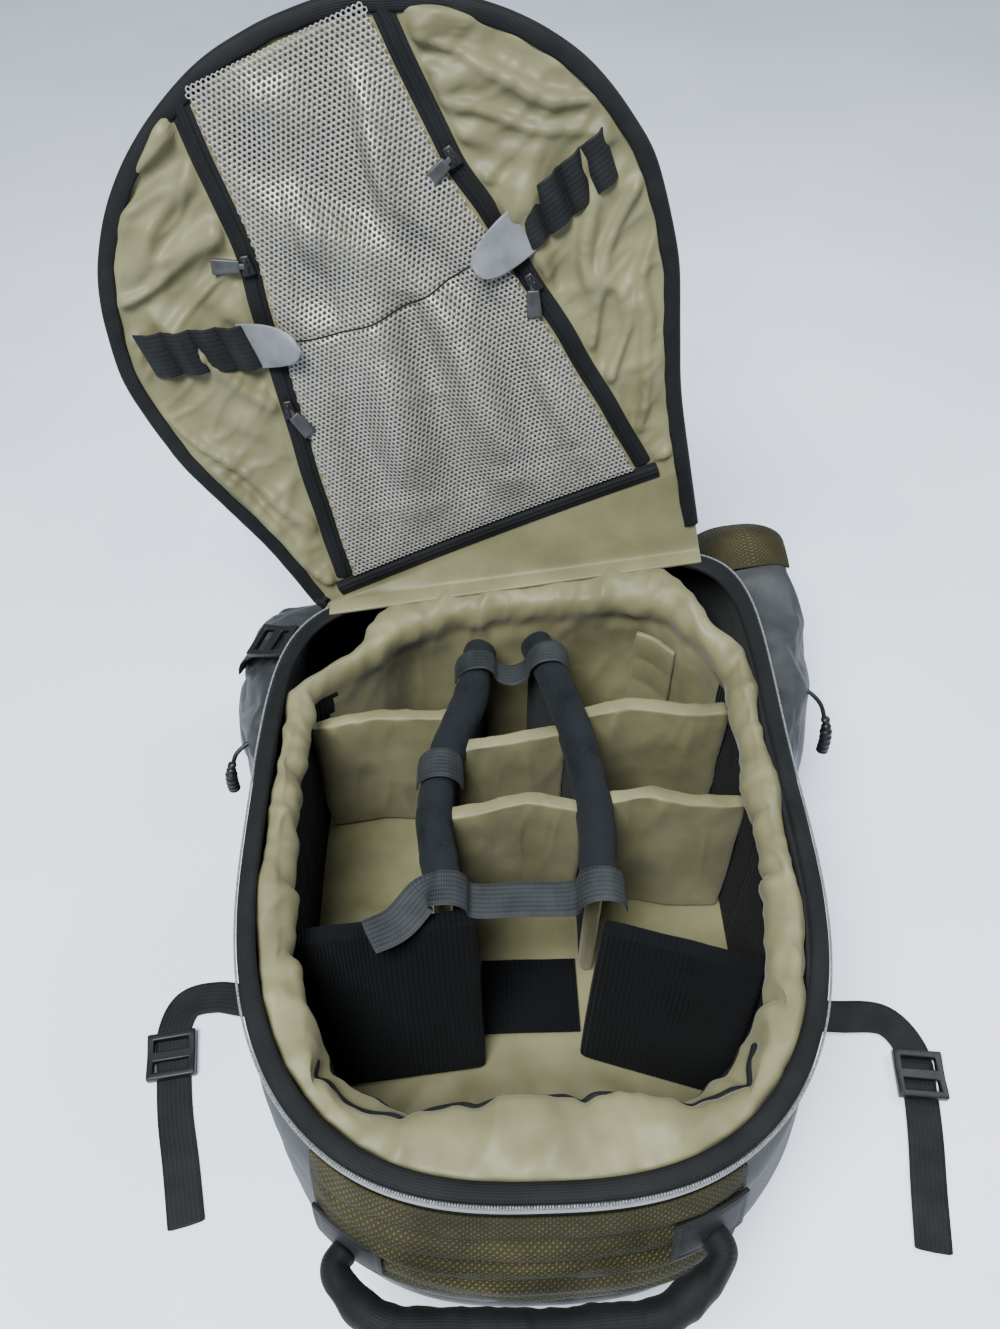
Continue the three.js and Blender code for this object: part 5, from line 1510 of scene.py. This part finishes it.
# The rubber tabs: soft grey moulded ends, sewn over the inner ends of the bands, to pull them open by.
grey_rubber, tree, shader = new_material("grey_rubber")
coordinates = add(tree, "TexCoord").outputs["Object"]
mottle = add(tree, "TexNoise", {"Vector": coordinates, "Scale": 60.0, "Detail": 5.0}).outputs["Fac"]
grain = add(tree, "TexNoise", {"Vector": coordinates, "Scale": 1500.0, "Detail": 2.0}).outputs["Fac"]
tree.links.new(ramp(tree, mottle, [(0.3, "#4A4E52"), (0.7, "#63686C")]), shader.inputs["Base Color"])
tree.links.new(
    add(tree, "Bump", {"Height": grain, "Strength": 0.35, "Distance": 0.0002}).outputs["Normal"],
    shader.inputs["Normal"],
)
shader.inputs["Roughness"].default_value = 0.55
tab_half, tab_rise = 15.8, 9
for side, sign, curl, length in (("left", -1, 8.0, 30.0), ("right", 1, 3.0, 35.0)):
    b0 = float(zip_at(elastic_inner - elastic_width / 2)) + zip_width / 2 + 1
    u = np.linspace(0, 1, 30)
    v = np.linspace(-1, 1, 26)
    U, V = np.meshgrid(u, v, indexing="ij")
    half_width = tab_half * (1 - (U * 0.995) ** 2.7) ** (1 / 2.0)
    b = b0 + 5 - U * (length + 5)
    a = elastic_inner + (elastic_outer - elastic_inner) * (b - b0) / 90 + V * half_width
    lift = lining_face + 2.4 + 0.8 + tab_rise * np.sin(np.clip(U, 0, 1) * np.pi / 2)
    lift = lift + curl * U**2 * (1 - 0.6 * V)
    tab = thick_sheet("tab_" + side, lid_point(a, sign * b, lift), u * 34, v * 15, 2.0)
    rounded(tab)
    finish_piece(tab, "lid_tab_" + side, grey_rubber)

# The zip pulls: a black slider rides each coil, and a short dark rubber bar hangs from it by a moulded
# neck. The upper left one has swung outwards, the upper right one inwards, and the lower two point down.
glossy_plastic, tree, shader = new_material("black_acetal")
coordinates = add(tree, "TexCoord").outputs["Object"]
scuff = add(tree, "TexNoise", {"Vector": coordinates, "Scale": 220.0, "Detail": 4.0}).outputs["Fac"]
tree.links.new(ramp(tree, scuff, [(0.35, "#0A0B0C"), (0.75, "#141618")]), shader.inputs["Base Color"])
tree.links.new(
    add(tree, "Bump", {"Height": scuff, "Strength": 0.15, "Distance": 0.0003}).outputs["Normal"],
    shader.inputs["Normal"],
)
shader.inputs["Roughness"].default_value = 0.45
shader.inputs["Specular IOR Level"].default_value = 0.3


def beveled_box(name, size, bevel, segments=3):
    """A moulded bar: a cube drawn out to its size, its edges rounded, in millimetres at the origin."""
    bpy.ops.object.select_all(action="DESELECT")
    bpy.ops.mesh.primitive_cube_add(size=1, location=(0, 0, 0))
    piece = bpy.context.object
    piece.name = name
    bpy.ops.object.mode_set(mode="EDIT")
    bpy.ops.mesh.select_all(action="SELECT")
    bpy.ops.transform.resize(value=[s / 1000 for s in size])
    bpy.ops.mesh.bevel(offset=bevel / 1000, segments=segments, affect="EDGES")
    bpy.ops.object.mode_set(mode="OBJECT")
    return piece


def set_down(piece, origin, x_axis, z_axis):
    """Moves a piece's mesh from the origin to its place, with its own x and z turned to these ways."""
    x = np.asarray(x_axis, float) / np.linalg.norm(x_axis)
    z = np.asarray(z_axis, float) - x * (np.asarray(z_axis, float) @ x)
    z /= np.linalg.norm(z)
    y = np.cross(z, x)
    P = points_of(piece)
    return move_points(piece, np.asarray(origin) + P[:, :1] * x + P[:, 1:2] * y + P[:, 2:3] * z)


def joined_pieces(name, pieces):
    """Joins loose pieces into one object."""
    bpy.ops.object.select_all(action="DESELECT")
    for piece in pieces:
        piece.select_set(True)
    bpy.context.view_layer.objects.active = pieces[0]
    bpy.ops.object.join()
    bpy.context.object.name = name
    return bpy.context.object


def zip_pull():
    """The rubber bar, with a raised rim and a thinner neck towards its slider; it points along -x."""
    bar = beveled_box("bar", (18, 9.4, 3.2), 1.1)
    P = points_of(bar)
    P[:, 1] *= 1 + 0.08 * smooth(-P[:, 0], -9, 9) - 0.2 * smooth(P[:, 0], 5, 9)
    P[:, 0] -= 13
    move_points(bar, P)
    bpy.ops.object.mode_set(mode="EDIT")
    bpy.ops.mesh.select_all(action="DESELECT")
    work = bmesh.from_edit_mesh(bar.data)
    for face in work.faces:
        face.select = abs(face.normal.z) > 0.99 and face.calc_area() > 5e-5
    bmesh.update_edit_mesh(bar.data)
    bpy.ops.mesh.inset(thickness=0.0012)
    bpy.ops.transform.shrink_fatten(value=-0.0005)
    bpy.ops.object.mode_set(mode="OBJECT")
    neck = beveled_box("neck", (8, 3.4, 2.2), 0.7)
    move_points(neck, points_of(neck) - (2.5, 0, 0))
    return joined_pieces("pull", [bar, neck])


def zip_slider():
    """The slider, narrower towards its front, with the bridge that holds its bar."""
    body = beveled_box("body", (13, 9, 4.2), 1.4)
    P = points_of(body)
    P[:, 1] *= 1 - 0.35 * smooth(P[:, 0], -2, 6.5)
    move_points(body, P)
    bridge = beveled_box("bridge", (9, 2.4, 3.0), 0.8)
    move_points(bridge, points_of(bridge) + (0, 0, 2.8))
    return joined_pieces("slider", [body, bridge])


dark_rubber, tree, shader = new_material("dark_rubber")
coordinates = add(tree, "TexCoord").outputs["Object"]
mottle = add(tree, "TexNoise", {"Vector": coordinates, "Scale": 90.0}).outputs["Fac"]
tree.links.new(ramp(tree, mottle, [(0.3, "#1B1D1F"), (0.7, "#2C2F32")]), shader.inputs["Base Color"])
shader.inputs["Roughness"].default_value = 0.5
for name, share, sign, way in [
    ("left_upper", 0.685, -1, (0.37, -0.93)), ("left_lower", 0.422, -1, (-0.964, 0.265)),
    ("right_upper", 0.71, 1, (-0.4, -0.92)), ("right_lower", 0.465, 1, (-0.95, -0.3)),
]:
    a = share * lid_height
    b = sign * float(zip_at(a))
    up_there = lid_normal(np.array(a), np.array(b))
    spot = lid_point(np.array(a), np.array(b), np.array(lining_face + 2.4))
    below = a - 10.0
    zip_below = lid_point(np.array(below), np.array(sign * float(zip_at(below))), np.array(0.0))
    zip_way = zip_below - lid_point(np.array(a), np.array(b), np.array(0.0))
    slider = set_down(zip_slider(), spot + up_there * 1.6, -zip_way, up_there)
    slider.name = "zip_slider_" + name
    slider.data.shade_smooth()
    finish_piece(slider, None, glossy_plastic)
    hang = lid_along * way[0] + lid_across * way[1]
    bar = set_down(zip_pull(), spot + up_there * 4.2, -(hang - up_there * 0.05), up_there)
    bar.name = "zip_bar_" + name
    bar.data.shade_smooth()
    finish_piece(bar, "lid_pull_" + name, dark_rubber)


# The side pockets: two flat zipped bags of plain dark nylon, half full of air, sewn to the tub's
# sides towards the hinge end. The right one has a khaki facing over its far end.
pocket_reach = 60.0
# Along the tub, how far out as a share of the reach, then the bag's lower and upper edge.
pocket_rows = {
    "left": [(70, 0.2, 34, 120), (88, 0.5, 24, 146), (130, 0.72, 20, 158), (190, 0.82, 19, 168),
             (240, 0.8, 20, 172), (272, 0.62, 26, 160), (286, 0.3, 40, 130)],
    "right": [(62, 0.25, 34, 124), (80, 0.66, 24, 152), (125, 0.9, 20, 166), (190, 1.02, 19, 178),
              (250, 1.06, 20, 184), (284, 0.9, 26, 172), (300, 0.45, 40, 140)],
}


def out_of_shell(P, layer):
    """Moves points that lie within the tub's outer face out onto it."""
    rise = np.clip((P[..., 2] - back_face) / body_height, 0, 1)
    side, near, far = [through(rise, shell_rows[:, 0], shell_rows[:, k]) for k in (1, 2, 3)]
    n = np.where(P[..., 1] < 0, 2.7, 6.0)
    length = np.where(P[..., 1] < 0, near * mouth_near, far * mouth_far) + layer
    width = side * mouth_half + layer
    reach = (np.abs(P[..., 0] / width) ** n + np.abs(P[..., 1] / length) ** n) ** (1 / n)
    scale = np.where(reach < 1, 1 / np.maximum(reach, 0.2), 1)
    P = P.copy()
    P[..., 0] *= scale
    P[..., 1] *= scale
    return P


def pocket_face(side, sign, y, turn, grow=0.0):
    """Points of a pocket's skin, at places along the tub and turns round its section."""
    rows = np.array(pocket_rows[side], float)
    out, low, high = [through(y, rows[:, 0], rows[:, k]) for k in (1, 2, 3)]
    middle, half = (low + high) / 2, (high - low) / 2 + grow
    inner_x, outer_x = mouth_half * 0.82, mouth_half + out * pocket_reach + grow
    c, s = np.cos(turn), np.sin(turn)
    soft_c, soft_s = np.sign(c) * np.abs(c) ** 0.62, np.sign(s) * np.abs(s) ** 0.62
    x = sign * (inner_x + (outer_x - inner_x) * (soft_c + 1) / 2)
    return np.stack([x, y + 0 * x, middle + half * soft_s], -1)


for side, sign in (("left", -1), ("right", 1)):
    rows = np.array(pocket_rows[side], float)
    y = rows[0, 0] + (rows[-1, 0] - rows[0, 0]) * (1 - np.cos(np.linspace(0, np.pi, 60))) / 2
    turn = np.arange(84) / 84 * 2 * np.pi
    Y, T = np.meshgrid(y, turn, indexing="ij")
    P = out_of_shell(pocket_face(side, sign, Y, T), 0.6)
    pocket = grid_piece("pocket_bag_" + side, slump(P), y - y[0], np.arange(85) * 6.0, wrap_v=True, caps=True)
    outward(pocket)
    Q = points_of(pocket)
    gap = np.abs(np.linalg.norm(out_of_shell(Q, 8.0) - Q, axis=1))
    pinned = (gap > 0.1).astype(float)
    settle(pocket, pinned, 0.035, frames=18, pressure=0.3, cap=6.0, seed=111, bend=1.5)
    push_out(pocket, lambda P: (1 - pinned) * (
        1.6 * noise(P, (50, 30, 30), 113) + 1.4 * (ridges(P, (40, 40, 26), 115) - 0.4)
    ))
    rounded(pocket)
    finish_piece(pocket, "side_pocket_" + side, pocket_nylon)
y = np.linspace(222, 288, 60)
turn = np.radians(np.linspace(62, 140, 50))
Y, T = np.meshgrid(y, turn, indexing="ij")
P = out_of_shell(pocket_face("right", 1, Y, T, 3.0 + 0.6), 2.4)
P += 0.8 * noise(P, 30, 117)[..., None] * np.array([0.3, 0, 1])
facing = thick_sheet("pocket_facing", slump(P), y - 190, np.linspace(0, 120, 50), 1.8)
finish_piece(facing, "pocket_facing_right", coarse_weave)


# The pocket pulls: a knotted black cord through each pocket's slider, ending in a moulded grip.
def beside_mouth(sign, out, y, z):
    """A point at the tub's side, given in shares of the pocket's, the mouth's and the rim's sizes."""
    return np.array([sign * (mouth_half + out * pocket_reach), y * mouth_far, z * rim_height])


pull_unit = 16


def pull_places(spot, sign, rows):
    """Places by a pocket's slider, from rows of steps outwards, towards the handle end and down."""
    return np.array([
        spot + (out * pull_unit * sign, -along * pull_unit, -down * pull_unit) for out, along, down in rows
    ])


for side, sign, spot in (
    ("left", -1, beside_mouth(-1, 0.5, 0.591, 0.679)), ("right", 1, beside_mouth(1, 0.8, 0.628, 0.707)),
):
    cord_rows = [(-0.2, 0, 0.1), (0, 0, 0), (0.69, 0.5, 0.31), (1, 1.12, 1.06)]
    cord = tube("cord", slump(spline(pull_places(spot, sign, cord_rows), 40)), 1.7, 12)
    grip_rows = [(0.98, 1.0, 0.75), (1.06, 1.31, 1.62), (1.06, 1.38, 2.38)]
    grip_line = spline(pull_places(spot, sign, grip_rows), 40)
    share = np.linspace(0, 1, 40)
    grip_radius = 2.6 + 1.9 * smooth(share, 0.0, 0.35) + 0.35 * np.cos(share * 38)
    grip = tube("grip", slump(grip_line), grip_radius, 16)
    bpy.ops.object.select_all(action="DESELECT")
    bpy.ops.mesh.primitive_uv_sphere_add(segments=16, ring_count=10, radius=0.0034)
    knot = bpy.context.object
    P = points_of(knot) * (1, 1, 0.8) + 0.5 * noise(points_of(knot), 3, 9)[:, None]
    move_points(knot, P + slump(pull_places(spot, sign, [(0.95, 0.95, 0.8)]))[0])
    pull = joined_pieces("pocket_cord_" + side, [cord, grip, knot])
    pull.data.shade_smooth()
    finish_piece(pull, "pocket_pull_" + side, glossy_plastic)


# The lash strap on the left: a short dark webbing from the tub's side seam, through a ladder lock, down
# over the pocket.
def flat_path(name, node, rows, width, thick, samples, seed, body=False):
    """A webbing laid along rows of points; body is true where it leans with the tub."""
    path = spline(rows, samples)
    T = np.gradient(path, axis=0)
    across = np.stack([-T[:, 1], T[:, 0], 0 * T[:, 0]], 1)
    strap = ribbon_piece(name, path, across, width, thick, seed)
    if body:
        move_points(strap, slump(points_of(strap)))
    rounded(strap)
    return finish_piece(strap, node, black_webbing)


lash_width = 20
lash_rows = [
    beside_mouth(-1, *row)
    for row in [(0.083, 0.949, 0.868), (0.283, 0.967, 0.858), (0.483, 0.986, 0.822), (0.717, 1.014, 0.75),
                (0.817, 1.028, 0.642)]
]
flat_path("lash_webbing", "side_strap_left", lash_rows, lash_width, 1.6, 60, 121, body=True)


def ladder_lock(width):
    """A moulded frame with three bars: a grid with its two slots cut out, drawn up and rounded."""
    reach, half, bar_width = width / 2 + 5, 17.0, 5.0
    bpy.ops.object.select_all(action="DESELECT")
    bpy.ops.mesh.primitive_grid_add(x_subdivisions=3, y_subdivisions=5, size=2)
    piece = bpy.context.object
    P = points_of(piece) / 1000
    xs = [-reach, -reach + bar_width, reach - bar_width, reach]
    ys = [-half, -half + bar_width, -3.5, 3.5, half - bar_width, half]
    for p in P:
        p[0] = xs[int(round((p[0] + 1) * 1.5))]
        p[1] = ys[int(round((p[1] + 1) * 2.5))]
    move_points(piece, P)
    bpy.ops.object.mode_set(mode="EDIT")
    bpy.ops.mesh.select_all(action="DESELECT")
    bpy.ops.mesh.select_mode(type="FACE")
    work = bmesh.from_edit_mesh(piece.data)
    for face in work.faces:
        middle = face.calc_center_median() * 1000
        face.select = abs(middle.x) < reach - bar_width and 3.5 < abs(middle.y) < half - bar_width
    bmesh.update_edit_mesh(piece.data)
    bpy.ops.mesh.delete(type="FACE")
    bpy.ops.mesh.select_all(action="SELECT")
    bpy.ops.mesh.extrude_region_move(TRANSFORM_OT_translate={"value": (0, 0, 0.0052)})
    bpy.ops.mesh.select_all(action="SELECT")
    bpy.ops.mesh.normals_make_consistent(inside=False)
    bpy.ops.object.mode_set(mode="OBJECT")
    P = points_of(piece)
    P[:, 2] -= 2.6
    P[:, 2] += 1.1 * (np.abs(P[:, 1]) > half - 6) * (P[:, 2] > 0)
    move_points(piece, P)
    modifier = piece.modifiers.new("edges", "BEVEL")
    modifier.width = 0.0011
    modifier.segments = 3
    modifier.limit_method = "ANGLE"
    modifier.angle_limit = math.radians(40)
    apply_all(piece)
    piece.data.shade_smooth()
    return piece


def swung(P, degrees):
    """Points turned about the upright axis."""
    a = math.radians(degrees)
    return P @ np.array([[math.cos(a), -math.sin(a), 0], [math.sin(a), math.cos(a), 0], [0, 0, 1]]).T


lock = ladder_lock(lash_width)
P = swung(points_of(lock), 66)
b = math.radians(-16)
P = P @ np.array([[math.cos(b), 0, math.sin(b)], [0, 1, 0], [-math.sin(b), 0, math.cos(b)]]).T
move_points(lock, slump(P + beside_mouth(-1, 0.283, 0.967, 0.872)))
lock.name = "lash_buckle"
finish_piece(lock, "side_buckle_left", glossy_plastic)


# The carrying handle: a webbing loop with a padded sleeve of dark nylon round its grip, sewn into two
# webbing anchors, one at each side of the woven panel.
anchor_foot = clear * 3 + 2.0
anchor_face = anchor_foot + 2.4
handle_rise = {"left": 0.56, "right": 0.72}
handle_place = {"left": -near_span, "right": near_span - 1 / 64}


def handle_at(side, offset):
    """Where the handle meets the tub on one side, that far out from the shell."""
    return shell_point(handle_place[side], handle_rise[side], offset)


grip_y = float(shell_point(0, 0.5, 25.0)[1])
route = [handle_at("left", anchor_face - 1.0), handle_at("left", anchor_face + 9.5)]
for x, back, z in [(-0.515, 0.36, 0.6), (-0.292, 0.2, 0.6), (0.175, 0.16, 0.61), (0.374, 0.3, 0.64)]:
    route.append(np.array([x * mouth_half, grip_y + back * 25, z * rim_height]))
route += [handle_at("right", anchor_face + 9.5), handle_at("right", anchor_face - 1.0)]
line = spline(route, 150)
share = np.linspace(0, 1, 150)
radius = 10.2 + 0.9 * np.cos(share * 90) * 0.3 - 2.2 * (1 - smooth(np.minimum(share, 1 - share), 0.06, 0.16))
handle = tube("handle_sleeve", line, radius, 36, flat=1.25)
push_out(handle, lambda P: 0.9 * noise(P, 18, 131) + 0.8 * (ridges(P, (9, 26, 26), 133) - 0.4))
rounded(handle)
finish_piece(handle, "haul_handle", tape_cloth)
for side in ("left", "right"):
    S = handle_place[side] + np.linspace(-1, 1, 26) / 64
    R = np.linspace(handle_rise[side] - 0.06, handle_rise[side] + 0.12, 26)
    SS, RR = np.meshgrid(S, R, indexing="ij")
    from_edge = 1 - np.abs(np.linspace(-1, 1, 26))
    edge = np.minimum(from_edge[:, None], from_edge[None, :])
    stitched = 0.5 * np.exp(-(((edge - 0.16) / 0.05) ** 2))
    front = shell_point(SS, RR, anchor_face - stitched)
    anchor = thick_sheet("anchor_" + side, slump(front), (S - S[0]) * mouth_round, R * body_height, 2.2)
    finish_piece(anchor, "handle_anchor_" + side, black_webbing)


# The lower webbings: each leaves the harness under the tub, turns on the floor and runs through a ladder
# lock to a free tail.
web_rows = {
    "left": [
        (-120, -30, 14.2), (-150, -29.5, 14.2), (-174, -28, 13.8), (-210, -24, 5.4), (-234, -19, 2.4),
        (-256, -24, 1.6), (-263, -44, 1.2), (-258, -75, 1.1), (-252, -105, 1.1), (-242, -140, 1.2),
        (-232, -178, 1.1),
    ],
    "right": [
        (120, -44, 14.2), (150, -45, 14.2), (172, -46, 13.8), (208, -47, 5.4), (236, -48, 2.4),
        (272, -52, 1.6), (286, -74, 1.2), (284, -105, 1.1), (279, -135, 1.1), (271, -170, 1.2),
        (263, -208, 1.1),
    ],
}
for side, rows in web_rows.items():
    flat_path("web_" + side, "harness_web_" + side, rows, web_width, 1.5, 160, 141)
lock_rest = 5.3
for side, x, y, turn in (("left", -260.5, -64, 8), ("right", 285.5, -94, -6)):
    lock = ladder_lock(25)
    move_points(lock, swung(points_of(lock), turn) + (x, y, lock_rest))
    lock.name = "ladder_lock_" + side
    finish_piece(lock, "ladderlock_" + side, glossy_plastic)


# The harness side, which the pack lies on: a foam back pad and two shoulder straps, pressed flat, in
# black spacer mesh.
def soft_copy(name, node, voxel, swell, seed):
    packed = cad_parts[node]
    piece = bpy.data.objects.new(name, packed.data.copy())
    piece.data.materials.clear()
    bpy.context.scene.collection.objects.link(piece)
    work = bmesh.new()
    work.from_mesh(piece.data)
    bmesh.ops.remove_doubles(work, verts=work.verts, dist=1e-6)
    work.to_mesh(piece.data)
    work.free()
    remesh = piece.modifiers.new("even", "REMESH")
    remesh.mode = "VOXEL"
    remesh.voxel_size = voxel / 1000
    apply_all(piece)
    relax = piece.modifiers.new("soft", "SMOOTH")
    relax.iterations = 6
    relax.factor = 0.5
    apply_all(piece)
    push_out(piece, lambda P: swell * noise(P, 34, seed))
    P = points_of(piece)
    P[:, 2] = np.maximum(P[:, 2], 0.0)
    move_points(piece, P)
    piece.data.shade_smooth()
    return piece


spacer_mesh = cloth_material("black_spacer_mesh", "#111315", "#2C2F33", 0.0024, 0.8, 0.2, uv=False, bump=0.6)
for name, node in (("back_cushion", "back_pad"), ("strap_cushion_left", "shoulder_strap_left"),
                   ("strap_cushion_right", "shoulder_strap_right")):
    cushion = soft_copy(name, node, 5, 0.5, 151)
    finish_piece(cushion, node, spacer_mesh)
